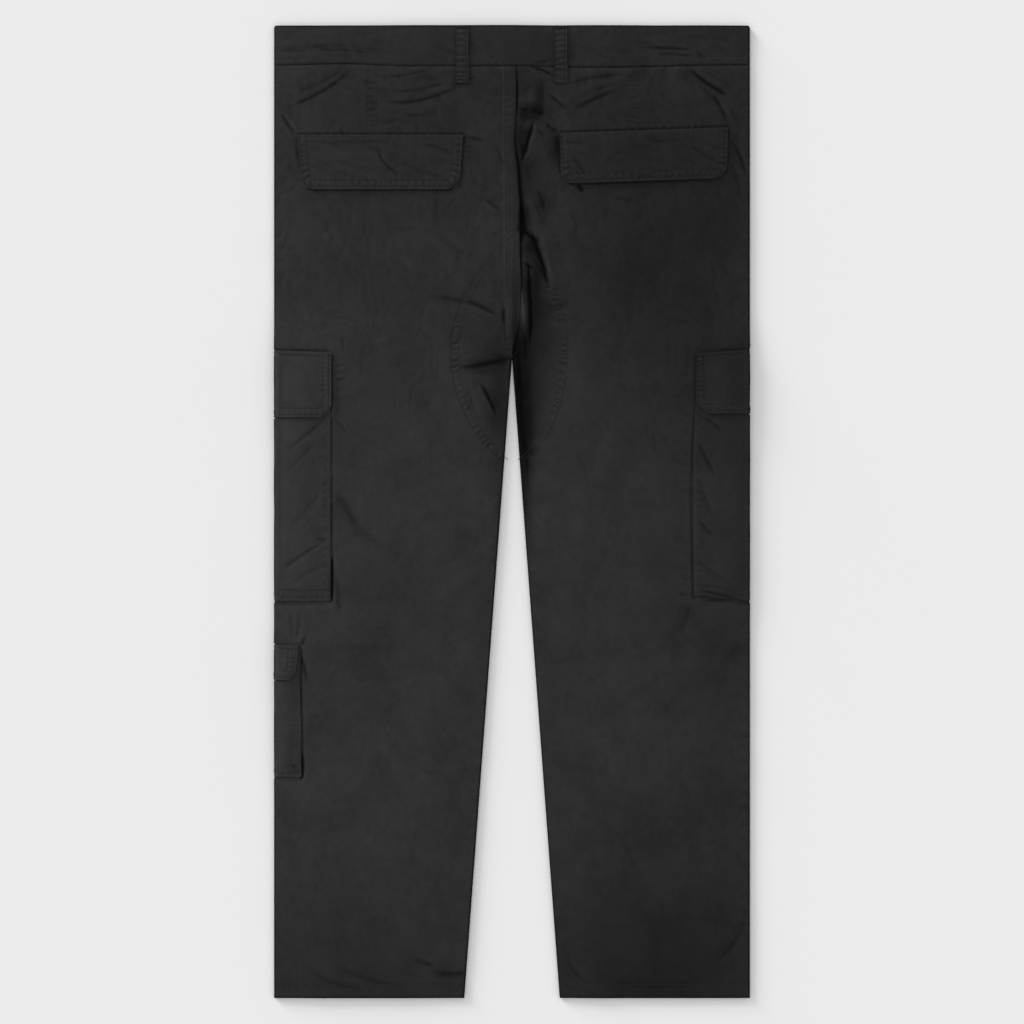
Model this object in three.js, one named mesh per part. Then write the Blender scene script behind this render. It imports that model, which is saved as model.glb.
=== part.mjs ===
// Cargo trousers laid flat on a surface, back side up, with the waist towards +Y and the hems towards -Y.
// The legs are two flattened tubes of cloth: a front panel rests on the surface and a back panel lies on it,
// and the two meet along rounded folds at the outseam and the inseam. Everything else is sewn on from outside.
// Left and right are the wearer's: the left leg is on the -X side. Sizes are in millimetres.
import * as THREE from "three";

const { clamp, smoothstep, degToRad } = THREE.MathUtils;

// Driving sizes of the garment, measured flat
const LENGTH = 1050; // waist edge to hem
const WIDTH = 514; // across the waist, and across both legs at the hems
const RISE = 358.5; // waist edge to crotch
const HEM_GAP = 103; // between the two inseams at the hems
const BAND = 44; // height of the waistband
const HEM_TURN = 24; // height of the turned-up hem

// Cloth
const CLOTH = 1.1; // one layer, with the air that it holds
const DOUBLED = 1.5; // a flap: two layers turned and pressed
const BAND_CLOTH = 1.8; // waistband: two layers and their interlining
const HEM_CLOTH = 1.7; // the hem's two layers
const LOOP_CLOTH = 1.3; // belt loop: a strip folded in three
const SEAM = 0.3; // between two pieces where they are sewn together
const REST = 0.3; // between a piece and the cloth that it lies on
const LAY = 4.8; // height of the two panels together, where nothing lies under them
const LOFT = 1.2; // how much higher the back lies in the middle of a leg
const LOFT_REACH = 60; // how far from an edge that height is reached
const EDGE = 2.4; // radius of the folds at the outseam and the inseam
const FADE = 18; // length over which the cloth comes down beside something that lifts it
const MARGIN = 3; // how far the cloth stays level around such a thing

const HALF = WIDTH / 2;
const WAIST = LENGTH / 2;
const HEM = -LENGTH / 2;
const WAIST_SEAM = WAIST - BAND;
const CROTCH = WAIST - RISE;

// Patch pockets that wrap the outseam: back and front are how far each goes onto either face of the leg,
// and puff is how far its middle stands off the back
const POCKETS = [
  { name: "cargo", side: -1, back: 61.5, front: 112, top: 174, bottom: -96, flap: 72, puff: 2.6 },
  { name: "cargo", side: 1, back: 61, front: 112, top: 175, bottom: -96, flap: 69, puff: 2.2 },
  { name: "calf", side: -1, back: 29, front: 70, top: -143, bottom: -286, flap: 38, puff: 2 },
];
const FLAP_OVER = 1; // a flap is this much wider than its pocket on the back
const FLAP_CHAMFER = 12; // cut-off corner of a flap
const FLAP_LIFT = 1.2; // a flap's free edge stands off the pocket by this much more

// Flaps of the two back pockets: the left end of the top edge, its length and tilt, and how the sides slant in
const BACK_FLAPS = [
  { side: -1, x: -232, y: 407, width: 179, height: 59, tilt: 0, slantLeft: 6, slantRight: 4, chamfer: 11 },
  { side: 1, x: 51, y: 409, width: 182, height: 55, tilt: 1.9, slantLeft: 1, slantRight: 3, chamfer: 11 },
];

// Belt loops, as wide strips sewn down over the waistband: face 1 is the back and -1 the front
const LOOP = { width: 14, top: WAIST - 0.5, bottom: WAIST_SEAM - 18 };
const LOOPS = [
  { name: "belt_loop_back_left", x: -54, face: 1 },
  { name: "belt_loop_back_right", x: 52.5, face: 1 },
  { name: "belt_loop_front_left", x: -105, face: -1 },
  { name: "belt_loop_front_right", x: 105, face: -1 },
];

// Flat sewn button that closes the waistband at the front
const BUTTON = { x: -15, y: WAIST - BAND / 2, radius: 8.5, height: 2.2, rim: 0.5 };

// Seat seam: how far the lapped edge lies to the right of the middle, from the waistband down to the crotch
const SEAT_SEAM = [
  { y: WAIST_SEAM, x: 4 },
  { y: 405, x: 2 },
  { y: 372, x: 3 },
  { y: 335, x: 7 },
  { y: 275, x: 9 },
  { y: 205, x: 7 },
  { y: CROTCH, x: 0 },
];
const LAP = { width: 13, height: 1, shoulder: 5 }; // the lapped seam stands up on the left panel

// Crotch gussets: half-moon pieces let into each back panel, with their greatest reach from the middle
const GUSSET = { top: 288, bottom: 52, middle: 172, tip: 4 };
const GUSSETS = [
  { side: -1, reach: 67, halfHeight: 122, upper: 1, lower: 0.72 },
  { side: 1, reach: 57, halfHeight: 121, upper: 1, lower: 0.78 },
];

// The largest folds of the back: each is a soft ridge or trough along a line, with its height and half width
const FOLDS = [
  { name: "seat valley beside the lap", x0: 13, y0: 474, x1: 14, y1: 330, height: -1.6, width: 10 },
  { name: "seat crest", x0: 30, y0: 440, x1: 35, y1: 345, height: 3.4, width: 16 },
  { name: "seat crest, lower", x0: 22, y0: 328, x1: 44, y1: 236, height: 4.2, width: 15 },
  { name: "recess under the crest", x0: 15, y0: 300, x1: 24, y1: 235, height: -2.2, width: 11 },
  { name: "right inseam valley", x0: 20, y0: 192, x1: 23, y1: 70, height: -1.7, width: 12 },
  { name: "right inseam crest", x0: 8, y0: 160, x1: 14, y1: 76, height: 1.4, width: 7 },
  { name: "gusset drag, upper", x0: -74, y0: 230, x1: -26, y1: 214, height: -1.5, width: 12 },
  { name: "gusset drag, lower", x0: -60, y0: 156, x1: -14, y1: 162, height: -1.7, width: 13 },
  { name: "gusset drag, slanting", x0: -34, y0: 136, x1: -16, y1: 98, height: -1.5, width: 11 },
  { name: "left hip sweep", x0: -238, y0: 438, x1: -184, y1: 464, height: -1.4, width: 15 },
  { name: "left waist drag", x0: -142, y0: 443, x1: -66, y1: 461, height: -1.5, width: 15 },
  { name: "right waist drag", x0: 64, y0: 433, x1: 120, y1: 457, height: -1.4, width: 14 },
  { name: "right hip sweep", x0: 190, y0: 476, x1: 216, y1: 450, height: -1.6, width: 13 },
  { name: "left thigh drag", x0: -190, y0: 24, x1: -166, y1: -22, height: -1.5, width: 16 },
  { name: "right thigh drag", x0: 188, y0: -112, x1: 176, y1: -150, height: -1.3, width: 14 },
  { name: "left hem dent", x0: -104, y0: -492, x1: -66, y1: -497, height: -1.3, width: 14 },
  { name: "right hem sweep", x0: 236, y0: -440, x1: 222, y1: -500, height: -1.2, width: 15 },
];
const LEAST_GAP = 0.9; // the two panels never come closer than this inside a leg

// Grid of the cloth
const TURNS = [0, 30, 60, 90].map((a) => EDGE * (1 - Math.cos(degToRad(a)))); // points round a fold
const NEAR_INNER = [...TURNS, 8, 14, 21, 30, 42]; // from the seat seam or inseam outwards
const BEFORE_REACH = [0.14, 0.3, 0.5, 0.75]; // from the outseam inwards, as shares of a pocket's reach
const BACK_MIDDLE = 2; // columns between those two
const GUSSET_SHARES = [0.4, 0.6, 0.8, 1]; // of a gusset's width, past its own fold
const BAND_FOLDS = [54, 150, 180, 215]; // columns of the waistband, either side of the middle
const ROW_PITCH = { seat: 24, leg: 60, changeAt: 40 };
const BACK_FLAP_COLUMNS = 8;
const ON_BACK = [1, 0.93, 0.8, 0.5, 0.2]; // columns of a wrapped pocket, as shares of its width on the back
const ON_FRONT = [0.35, 1]; // and of its width on the front
const PUFF = { peak: 0.6, spread: 0.75, underFlap: 0.2, edge: 0.1, fold: 0.2 }; // shares of a pocket's width

const bell = (t) => (Math.abs(t) < 1 ? 0.5 + 0.5 * Math.cos(Math.PI * t) : 0);
const range = (n) => Array.from({ length: n }, (_, i) => i);

// 1 between low and high, coming down to 0 over FADE beyond a margin on either side.
function plateau(value, low, high) {
  return (
    smoothstep(value, low - MARGIN - FADE, low - MARGIN) *
    (1 - smoothstep(value, high + MARGIN, high + MARGIN + FADE))
  );
}

// What lies between the front of the garment and the surface: pockets, flaps, loops and the button.
const UNDERNEATH = [
  ...POCKETS.flatMap(({ side, front, top, bottom, flap }) => {
    const [x0, x1] = side < 0 ? [-2 * HALF, front - HALF] : [HALF - front, 2 * HALF];
    return [
      { x0, x1, y0: bottom, y1: top, thick: CLOTH + REST },
      { x0, x1, y0: top - flap, y1: top, thick: DOUBLED + REST },
    ];
  }),
  ...LOOPS.filter(({ face }) => face < 0).map(({ x }) => ({
    x0: x - LOOP.width / 2,
    x1: x + LOOP.width / 2,
    y0: LOOP.bottom,
    y1: LOOP.top,
    thick: LOOP_CLOTH + REST,
  })),
  {
    x0: BUTTON.x - BUTTON.radius,
    x1: BUTTON.x + BUTTON.radius,
    y0: BUTTON.y - BUTTON.radius,
    y1: BUTTON.y + BUTTON.radius,
    thick: BUTTON.height + REST,
  },
];

// How far the front panel is lifted off the surface at a point.
function lift(x, y) {
  return UNDERNEATH.reduce((sum, u) => sum + u.thick * plateau(x, u.x0, u.x1) * plateau(y, u.y0, u.y1), 0);
}

// Half the width of the notch between the legs.
function inseam(y) {
  return Math.max(SEAM / 2, ((CROTCH - y) * HEM_GAP) / 2 / (CROTCH - HEM));
}

// Where the leg's own outseam fold is: inside the straight outline by what wraps it there.
function outseam(side, y) {
  return HALF - lift(side * HALF, y);
}

// x of the seat seam's lapped edge.
function seatSeam(y) {
  if (y >= SEAT_SEAM[0].y) return SEAT_SEAM[0].x;
  const i = SEAT_SEAM.findIndex((row) => y >= row.y);
  if (i < 0) return 0;
  const [a, b] = [SEAT_SEAM[i - 1], SEAT_SEAM[i]];
  return b.x + (a.x - b.x) * smoothstep(y, b.y, a.y);
}

// Distance to the nearest edge of the outline, and the way out over it.
function nearestEdge(x, y) {
  const side = x < 0 ? -1 : 1;
  const outer = outseam(side, y) - Math.abs(x);
  const above = Math.hypot(x, y - CROTCH);
  const inner = y < CROTCH ? Math.abs(x) - inseam(y) : above;
  if (outer < inner) return { distance: outer, nx: side, ny: 0 };
  if (y < CROTCH || above === 0) return { distance: inner, nx: -side, ny: 0 };
  return { distance: inner, nx: -x / above, ny: (CROTCH - y) / above };
}

// The wall of a panel grows to the hem's two layers over the turned-up hem.
const panelCloth = (x, y) => (y < HEM + HEM_TURN + MARGIN / 2 ? HEM_CLOTH : CLOTH);

// Height of the back's outer face above the surface, with its loft, folds and lapped seam.
function backHeight(x, y) {
  const { distance } = nearestEdge(x, y);
  let height = LAY + LOFT * smoothstep(distance, 0, LOFT_REACH);
  for (const f of FOLDS) {
    const [dx, dy] = [f.x1 - f.x0, f.y1 - f.y0];
    const along = clamp(((x - f.x0) * dx + (y - f.y0) * dy) / (dx * dx + dy * dy), 0, 1);
    height += f.height * bell(Math.hypot(x - f.x0 - along * dx, y - f.y0 - along * dy) / f.width);
  }
  const fromLap = seatSeam(y) - x;
  if (y > CROTCH && fromLap > 0) {
    const fade = smoothstep(y, CROTCH, CROTCH + 4 * LAP.shoulder);
    height += LAP.height * fade * (1 - smoothstep(fromLap, LAP.width, LAP.width + LAP.shoulder));
  }
  return lift(x, y) + Math.max(height, 2 * panelCloth(x, y) + LEAST_GAP);
}

// A point of the flattened tube: face is 1 on the back and -1 on the front, and out is the distance out of the
// cloth's outer face. Near an edge the face turns down, or up, to the fold at mid height.
function skin(x, y, face, out, seam = SEAM) {
  const edge = nearestEdge(x, y);
  const turn = clamp(1 - edge.distance / EDGE, 0, 1);
  const flat = Math.sqrt(1 - turn * turn);
  const middle = lift(x, y) + LAY / 2;
  const rise = face > 0 ? backHeight(x, y) - middle : LAY / 2;
  return new THREE.Vector3(
    x + edge.nx * out * turn,
    y + edge.ny * out * turn,
    middle + face * (seam / 2 + flat * (rise - seam / 2 + out)),
  );
}

// A closed wall between an outer and an inner grid of points, rows by columns.
function wall(outer, inner) {
  const rows = outer.length;
  const columns = outer[0].length;
  const points = [...outer.flat(), ...inner.flat()];
  const at = (r, c, layer) => layer * rows * columns + r * columns + c;
  const faces = [];
  const quad = (a, b, c, d) => faces.push(a, b, c, a, c, d);
  for (const r of range(rows - 1)) {
    for (const c of range(columns - 1)) {
      quad(at(r, c, 0), at(r + 1, c, 0), at(r + 1, c + 1, 0), at(r, c + 1, 0));
      quad(at(r, c, 1), at(r, c + 1, 1), at(r + 1, c + 1, 1), at(r + 1, c, 1));
    }
    quad(at(r, 0, 0), at(r, 0, 1), at(r + 1, 0, 1), at(r + 1, 0, 0));
    quad(at(r, columns - 1, 0), at(r + 1, columns - 1, 0), at(r + 1, columns - 1, 1), at(r, columns - 1, 1));
  }
  for (const c of range(columns - 1)) {
    quad(at(0, c, 0), at(0, c + 1, 0), at(0, c + 1, 1), at(0, c, 1));
    quad(at(rows - 1, c, 0), at(rows - 1, c, 1), at(rows - 1, c + 1, 1), at(rows - 1, c + 1, 0));
  }
  const volume = range(faces.length / 3).reduce((sum, i) => {
    const [a, b, c] = faces.slice(3 * i, 3 * i + 3).map((k) => points[k]);
    return sum + a.dot(new THREE.Vector3().crossVectors(b, c));
  }, 0);
  if (volume < 0) faces.reverse();
  const geometry = new THREE.BufferGeometry().setFromPoints(points);
  geometry.setIndex(faces);
  return geometry;
}

// A sheet of cloth over a plan grid of [x, y] points, as thick as said, its outer face out from the tube's skin.
function sheet(plan, { face, thickness, out = 0, seam = SEAM }) {
  const level = (add) =>
    plan.map((row) => row.map(([x, y, way = face, puff = 0]) => skin(x, y, way, add(x, y) + puff, seam)));
  return wall(
    level(() => out),
    level((x, y) => out - thickness(x, y)),
  );
}

// Rows of one leg's panels, from the waist seam to the hem: where a piece begins or ends the rows are close.
function fixedRows(side) {
  const steps = POCKETS.filter((p) => p.side === side).flatMap(({ top, bottom, flap }) => [
    top + MARGIN + FADE,
    top + MARGIN,
    top - flap - MARGIN,
    top - flap - MARGIN - FADE,
    bottom - MARGIN,
    bottom - MARGIN - FADE,
  ]);
  const halfway = steps.filter((_, i) => i % 2 === 0).map((y, i) => (y + steps[2 * i + 1]) / 2);
  const crotch = [CROTCH + EDGE, CROTCH];
  const loops = [LOOP.bottom - MARGIN, LOOP.bottom - MARGIN - FADE];
  const hem = [HEM, HEM + HEM_TURN, HEM + HEM_TURN + MARGIN];
  return [WAIST_SEAM - SEAM / 2, ...hem, ...steps, ...halfway, ...crotch, ...loops].sort((a, b) => b - a);
}

// Rows of a back panel: the fixed ones, the ends of the gusset, and even rows in between for the folds.
function backRows(side) {
  const gusset = [GUSSET.top + MARGIN, GUSSET.top, GUSSET.bottom, GUSSET.bottom - MARGIN];
  const fixed = [...fixedRows(side), ...gusset].sort((a, b) => b - a);
  const rows = [fixed[0]];
  for (const y of fixed.slice(1)) {
    const from = rows[rows.length - 1];
    const pitch = y > ROW_PITCH.changeAt ? ROW_PITCH.seat : ROW_PITCH.leg;
    const parts = Math.max(1, Math.round((from - y) / pitch));
    rows.push(...range(parts).map((i) => from + ((y - from) * (i + 1)) / parts));
  }
  return rows;
}

// Columns between an inner and an outer x: close beside both ends and even between.
function columns(inner, outer, nearInner, nearOuter, middle) {
  const way = Math.sign(outer - inner);
  const span = Math.abs(outer - inner);
  const first = nearInner[nearInner.length - 1];
  const last = span - nearOuter[nearOuter.length - 1];
  const between = range(middle).map((i) => first + ((last - first) * (i + 1)) / (middle + 1));
  const distances = [...nearInner, ...between, ...nearOuter.map((d) => span - d).reverse()];
  return distances.map((d) => inner + way * d);
}

// How far in from the outseam the front panel is lifted by the pocket nearest to a height.
function pocketReach(side, y) {
  const away = ({ top, bottom }) => Math.abs(y - (top + bottom) / 2) - (top - bottom) / 2;
  const near = POCKETS.filter((p) => p.side === side).sort((a, b) => away(a) - away(b))[0];
  return near.front + MARGIN - (HALF - outseam(side, y));
}

const hasGusset = (y) => y <= GUSSET.top && y >= GUSSET.bottom;

// x where a back panel or a gusset ends towards the middle: the seat seam, or the inseam below the crotch.
function backInner(side, y) {
  return y > CROTCH ? seatSeam(y) + (side * SEAM) / 2 : side * inseam(y);
}

// x of a gusset's curved seam: it stays a blunt tip's width away from the middle.
function gussetSeam({ side, reach, halfHeight, upper, lower }, y) {
  const t = (y - GUSSET.middle) / halfHeight;
  const arc = reach * (1 - t * t) ** (t > 0 ? upper : lower);
  return side * Math.max(arc, side * backInner(side, y) + GUSSET.tip);
}

function backPanel(side) {
  const gusset = GUSSETS.find((g) => g.side === side);
  const plan = backRows(side).map((y) => {
    const inner = hasGusset(y) ? gussetSeam(gusset, y) + (side * SEAM) / 2 : backInner(side, y);
    const outer = side * outseam(side, y);
    const reach = pocketReach(side, y);
    const nearOuter = [...TURNS, ...BEFORE_REACH.map((share) => share * reach), reach, reach + FADE];
    return columns(inner, outer, NEAR_INNER, nearOuter, BACK_MIDDLE).map((x) => [x, y]);
  });
  return sheet(plan, { face: 1, thickness: panelCloth });
}

function gussetPiece(gusset) {
  const plan = backRows(gusset.side)
    .filter(hasGusset)
    .map((y) => {
      const inner = backInner(gusset.side, y);
      const outer = gussetSeam(gusset, y) - (gusset.side * SEAM) / 2;
      const width = Math.abs(outer - inner);
      const fold = TURNS.map((t) => t * Math.min(1 / width, GUSSET_SHARES[0] / 2 / EDGE));
      return [...fold, ...GUSSET_SHARES].map((share) => [inner + share * (outer - inner), y]);
    });
  return sheet(plan, { face: 1, thickness: () => CLOTH });
}

function frontPanel(side) {
  const loopX = Math.abs(LOOPS.find(({ face }) => face < 0).x);
  const loopEdge = LOOP.width / 2 + MARGIN;
  const nearInner = [...TURNS, loopX - loopEdge - FADE, loopX - loopEdge, loopX + loopEdge];
  const plan = fixedRows(side).map((y) => {
    const inner = side * inseam(y);
    const outer = side * outseam(side, y);
    const reach = pocketReach(side, y);
    const nearOuter = [...TURNS, reach, reach + FADE];
    const squeeze = (Math.abs(outer - inner) - reach - FADE - SEAM) / (HALF - reach - FADE);
    const near = nearInner.map((d) => (d > EDGE ? d * squeeze : d));
    return columns(inner, outer, near, nearOuter, 0).map((x) => [x, y]);
  });
  return sheet(plan, { face: -1, thickness: panelCloth });
}

// Columns of the waistband from one x to another, close where a loop or the button lifts it.
function bandColumns(from, to) {
  const lifted = [
    ...LOOPS.filter(({ face }) => face < 0).map(({ x }) => [x, LOOP.width / 2]),
    [BUTTON.x, BUTTON.radius],
  ].flatMap(([x, half]) => [-1, 1].flatMap((way) => [0, FADE / 2, FADE].map((f) => x + way * (half + MARGIN + f))));
  const plain = BAND_FOLDS.flatMap((x) => [-x, x]);
  const inside = [...lifted, ...plain].filter((x) => x > from + MARGIN && x < to - MARGIN);
  const ends = [from, to].flatMap((x) => (Math.abs(x) === HALF ? TURNS.map((t) => Math.sign(x) * (HALF - t)) : [x]));
  return [...inside, ...ends].sort((a, b) => a - b).filter((x, i, all) => i === 0 || x - all[i - 1] > SEAM / 3);
}

function waistband(face, from, to) {
  const heights = [WAIST_SEAM + SEAM / 2, BUTTON.y - BUTTON.radius, BUTTON.y, BUTTON.y + BUTTON.radius, WAIST];
  const plan = heights.map((y) => bandColumns(from, to).map((x) => [x, y]));
  return sheet(plan, { face, thickness: () => BAND_CLOTH });
}

function beltLoop({ x, face }) {
  const below = (WAIST_SEAM - LOOP.bottom) / 3;
  const heights = [LOOP.bottom, LOOP.bottom + below, WAIST_SEAM - below, WAIST_SEAM, BUTTON.y, LOOP.top];
  const plan = heights.map((y) => [-1, 0, 1].map((c) => [x + (c * LOOP.width) / 2, y]));
  return sheet(plan, { face, thickness: () => LOOP_CLOTH, out: LOOP_CLOTH + REST });
}

function backFlap({ x, y, width, height, tilt, slantLeft, slantRight, chamfer }) {
  const [along, down] = [0, -90].map((turn) => {
    const angle = degToRad(tilt + turn);
    return [Math.cos(angle), Math.sin(angle)];
  });
  const depths = [0, height / 3, (2 * height) / 3, height - chamfer, height];
  const plan = depths.map((v) => {
    const cut = Math.max(0, v - height + chamfer);
    const left = (slantLeft * v) / height + cut;
    const right = width - (slantRight * v) / height - cut;
    return range(BACK_FLAP_COLUMNS + 1).map((i) => {
      const u = left + ((right - left) * i) / BACK_FLAP_COLUMNS;
      const puff = REST + FLAP_LIFT * (v / height) ** 2;
      return [x + u * along[0] + v * down[0], y + u * along[1] + v * down[1], 1, puff];
    });
  });
  return sheet(plan, { thickness: () => DOUBLED, out: DOUBLED + REST });
}

// Plan row of something that wraps the outseam: from its edge on the back round the fold to its edge on the front.
function wrapRow(side, y, back, front, puffAt) {
  const fold = outseam(side, y);
  const over = back - (HALF - fold);
  const under = front - (HALF - fold);
  return [
    ...ON_BACK.map((share) => [share * over, 1]),
    ...[...TURNS].reverse().map((d) => [d, 1]),
    ...TURNS.slice(1).map((d) => [d, -1]),
    ...ON_FRONT.map((share) => [share * under, -1]),
  ].map(([d, face]) => [side * (fold - d), y, face, face > 0 ? puffAt(d / over) : 0]);
}

// How far a pocket stands off the leg: nothing along its sewn edges, and least under the top of its flap.
function pocketPuff({ top, bottom, puff }, y, share) {
  const closed = (1 - PUFF.underFlap) * smoothstep(y, top - 2 * FADE, top);
  const down = smoothstep(y, bottom, bottom + FADE) * (1 - closed);
  return puff * down * bell((share - PUFF.peak) / PUFF.spread) * smoothstep(share, 0, PUFF.fold);
}

const rowsBetween = (side, top, bottom) => backRows(side).filter((y) => y < top - MARGIN && y > bottom + MARGIN);

function patchPocket(pocket) {
  const { side, back, front, top, bottom } = pocket;
  const plan = [top, ...rowsBetween(side, top, bottom), bottom].map((y) =>
    wrapRow(side, y, back, front, (share) => pocketPuff(pocket, y, share) * smoothstep(1 - share, 0, PUFF.edge)),
  );
  return sheet(plan, { thickness: () => CLOTH, out: CLOTH + REST, seam: 0 });
}

function pocketFlap(pocket) {
  const { side, back, front, top, flap } = pocket;
  const chamfer = Math.min(FLAP_CHAMFER, back / 3);
  const wide = back + FLAP_OVER;
  const edge = top - flap;
  const plan = [top, ...rowsBetween(side, top, edge + chamfer), edge + chamfer, edge].map((y) => {
    const cut = y === edge ? chamfer : 0;
    const free = FLAP_LIFT * (1 - smoothstep(y, edge, top - 2 * FADE));
    return wrapRow(side, y, wide - cut, front, (share) => pocketPuff(pocket, y, share) + free * bell(1 - share));
  });
  return sheet(plan, { thickness: () => DOUBLED, out: CLOTH + DOUBLED + 2 * REST, seam: 0 });
}

// Button: a flat disc with a rounded rim, face down on the surface.
function waistButton() {
  const { radius, height, rim } = BUTTON;
  const profile = [
    [0, 0], [radius - rim, 0], [radius, rim], [radius, height - rim], [radius - rim, height], [0, height],
  ].map(([r, z]) => new THREE.Vector2(r, z));
  return new THREE.LatheGeometry(profile, 24).rotateX(Math.PI / 2);
}

const twill = new THREE.MeshStandardMaterial({ color: 0x2c2c2d, roughness: 0.92, metalness: 0 });
const flapTwill = new THREE.MeshStandardMaterial({ color: 0x2e2e2f, roughness: 0.92, metalness: 0 });
const plastic = new THREE.MeshStandardMaterial({ color: 0x303031, roughness: 0.5, metalness: 0 });

const trousers = new THREE.Group();

function add(name, geometry, material = twill) {
  const mesh = new THREE.Mesh(geometry, material);
  mesh.name = name;
  trousers.add(mesh);
  return mesh;
}

const sideName = (side) => (side < 0 ? "left" : "right");

for (const side of [-1, 1]) {
  add(`back_${sideName(side)}`, backPanel(side));
  add(`front_${sideName(side)}`, frontPanel(side));
}
for (const gusset of GUSSETS) add(`gusset_${sideName(gusset.side)}`, gussetPiece(gusset));
add("waistband_back", waistband(1, -HALF, HALF));
add("waistband_front_left", waistband(-1, -HALF, -SEAM / 2));
add("waistband_front_right", waistband(-1, SEAM / 2, HALF));
for (const loop of LOOPS) add(loop.name, beltLoop(loop));
for (const flap of BACK_FLAPS) add(`back_flap_${sideName(flap.side)}`, backFlap(flap), flapTwill);
for (const pocket of POCKETS) {
  add(`${pocket.name}_pocket_${sideName(pocket.side)}`, patchPocket(pocket));
  add(`${pocket.name}_flap_${sideName(pocket.side)}`, pocketFlap(pocket), flapTwill);
}
add("waist_button", waistButton(), plastic).position.set(BUTTON.x, BUTTON.y, 0);

export default trousers;
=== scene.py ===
# Charcoal-black cargo trousers laid flat on a pale surface, back side up, with the waist towards +Y.
# Left and right are the wearer's, so the left leg is at -X. Lengths are in millimetres until a mesh is made.
import math

import bpy
import numpy as np
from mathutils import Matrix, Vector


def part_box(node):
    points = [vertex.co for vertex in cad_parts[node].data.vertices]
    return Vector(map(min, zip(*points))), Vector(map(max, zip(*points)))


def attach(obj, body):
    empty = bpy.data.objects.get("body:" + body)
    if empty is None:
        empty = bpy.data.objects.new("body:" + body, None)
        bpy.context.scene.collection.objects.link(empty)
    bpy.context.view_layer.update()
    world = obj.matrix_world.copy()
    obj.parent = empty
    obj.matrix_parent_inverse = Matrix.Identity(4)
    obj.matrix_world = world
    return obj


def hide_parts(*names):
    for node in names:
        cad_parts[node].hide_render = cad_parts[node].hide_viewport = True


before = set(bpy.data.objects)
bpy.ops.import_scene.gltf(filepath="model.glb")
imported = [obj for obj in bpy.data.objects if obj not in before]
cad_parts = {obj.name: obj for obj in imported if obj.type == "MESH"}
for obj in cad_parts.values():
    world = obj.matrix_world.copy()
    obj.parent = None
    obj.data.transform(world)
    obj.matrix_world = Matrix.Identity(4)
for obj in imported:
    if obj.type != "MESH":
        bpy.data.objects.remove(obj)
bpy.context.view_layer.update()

MM = 0.001

# The camera looks straight down from above the middle of the trousers, as the photograph does.
# Its lens takes in a square of 1105 mm at the height of the cloth.
VIEW_WIDTH = 1105.2
CAMERA_HEIGHT = 3000.0
CLOTH_HEIGHT = 5.0

camera_data = bpy.data.cameras.new("camera")
camera_data.sensor_width = 36.0
camera_data.lens = camera_data.sensor_width * (CAMERA_HEIGHT - CLOTH_HEIGHT) / VIEW_WIDTH
camera = bpy.data.objects.new("camera", camera_data)
camera.location = (0.0, -0.2 * MM, CAMERA_HEIGHT * MM)
bpy.context.collection.objects.link(camera)
bpy.context.scene.camera = camera


# Front panels: one long piece of cotton twill for each leg, from the waist seam to the hem, cut with its own
# outseam and inseam. They lie face down on the surface, so only their edges and their underside can be seen.
# Each is lifted a little where a pocket, a belt loop or the button lies under it.
SEAM = 0.3
REST = 0.3
CLOTH = 0.8
FLAP_CLOTH = 1.5
POCKET_CLOTH = 1.1
LAY = 4.8
LOFT, LOFT_REACH = 1.2, 60.0
EDGE = 2.4
FADE, MARGIN = 18.0, 3.0
LOOP_ROOM, BUTTON_ROOM = 1.6, 2.5
CROTCH = 166.5
HEM_GAP = 103.0
LEAST_GAP = 0.9


def node_box(node):
    low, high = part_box(node)
    return np.array(low) / MM, np.array(high) / MM


band_low, band_high = node_box("waistband_back")
HALF = float(band_high[0])
WAIST = float(band_high[1])
WAIST_SEAM = float(band_low[1]) - SEAM / 2
HEM = float(node_box("back_left")[0][1])


def step(value, start, end):
    share = np.clip((value - start) / (end - start), 0, 1)
    return share * share * (3 - 2 * share)


def bell(t):
    return np.where(np.abs(t) < 1, 0.5 + 0.5 * np.cos(np.pi * np.clip(t, -1, 1)), 0.0)


def plateau(value, low, high, fade):
    low, high = low - MARGIN, high + MARGIN
    return step(value, low - fade, low) * (1 - step(value, high, high + fade))


# What lies under the front: (low corner, high corner, thickness) of the pockets, flaps, loops and button.
def under_pieces():
    things = []
    for pocket, flap in (
        ("cargo_pocket_left", "cargo_flap_left"),
        ("cargo_pocket_right", "cargo_flap_right"),
        ("calf_pocket_left", "calf_flap_left"),
    ):
        for node, thick in ((pocket, POCKET_CLOTH + REST), (flap, FLAP_CLOTH + REST)):
            low, high = node_box(node)
            outward = -1 if pocket.endswith("left") else 1
            low[0], high[0] = (-2 * HALF, high[0]) if outward < 0 else (low[0], 2 * HALF)
            things.append((low[:2], high[:2], thick))
    for node, thick in (
        ("belt_loop_front_left", LOOP_ROOM),
        ("belt_loop_front_right", LOOP_ROOM),
        ("waist_button", BUTTON_ROOM),
    ):
        low, high = node_box(node)
        things.append((low[:2], high[:2], thick))
    return things


UNDERNEATH = under_pieces()


def lift(x, y, fade=FADE):
    total = np.zeros(np.broadcast(x, y).shape)
    for low, high, thick in UNDERNEATH:
        total += thick * plateau(x, low[0], high[0], fade) * plateau(y, low[1], high[1], fade)
    return total


def inseam(y):
    return np.maximum(SEAM / 2, (CROTCH - y) * HEM_GAP / 2 / (CROTCH - HEM))


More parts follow.
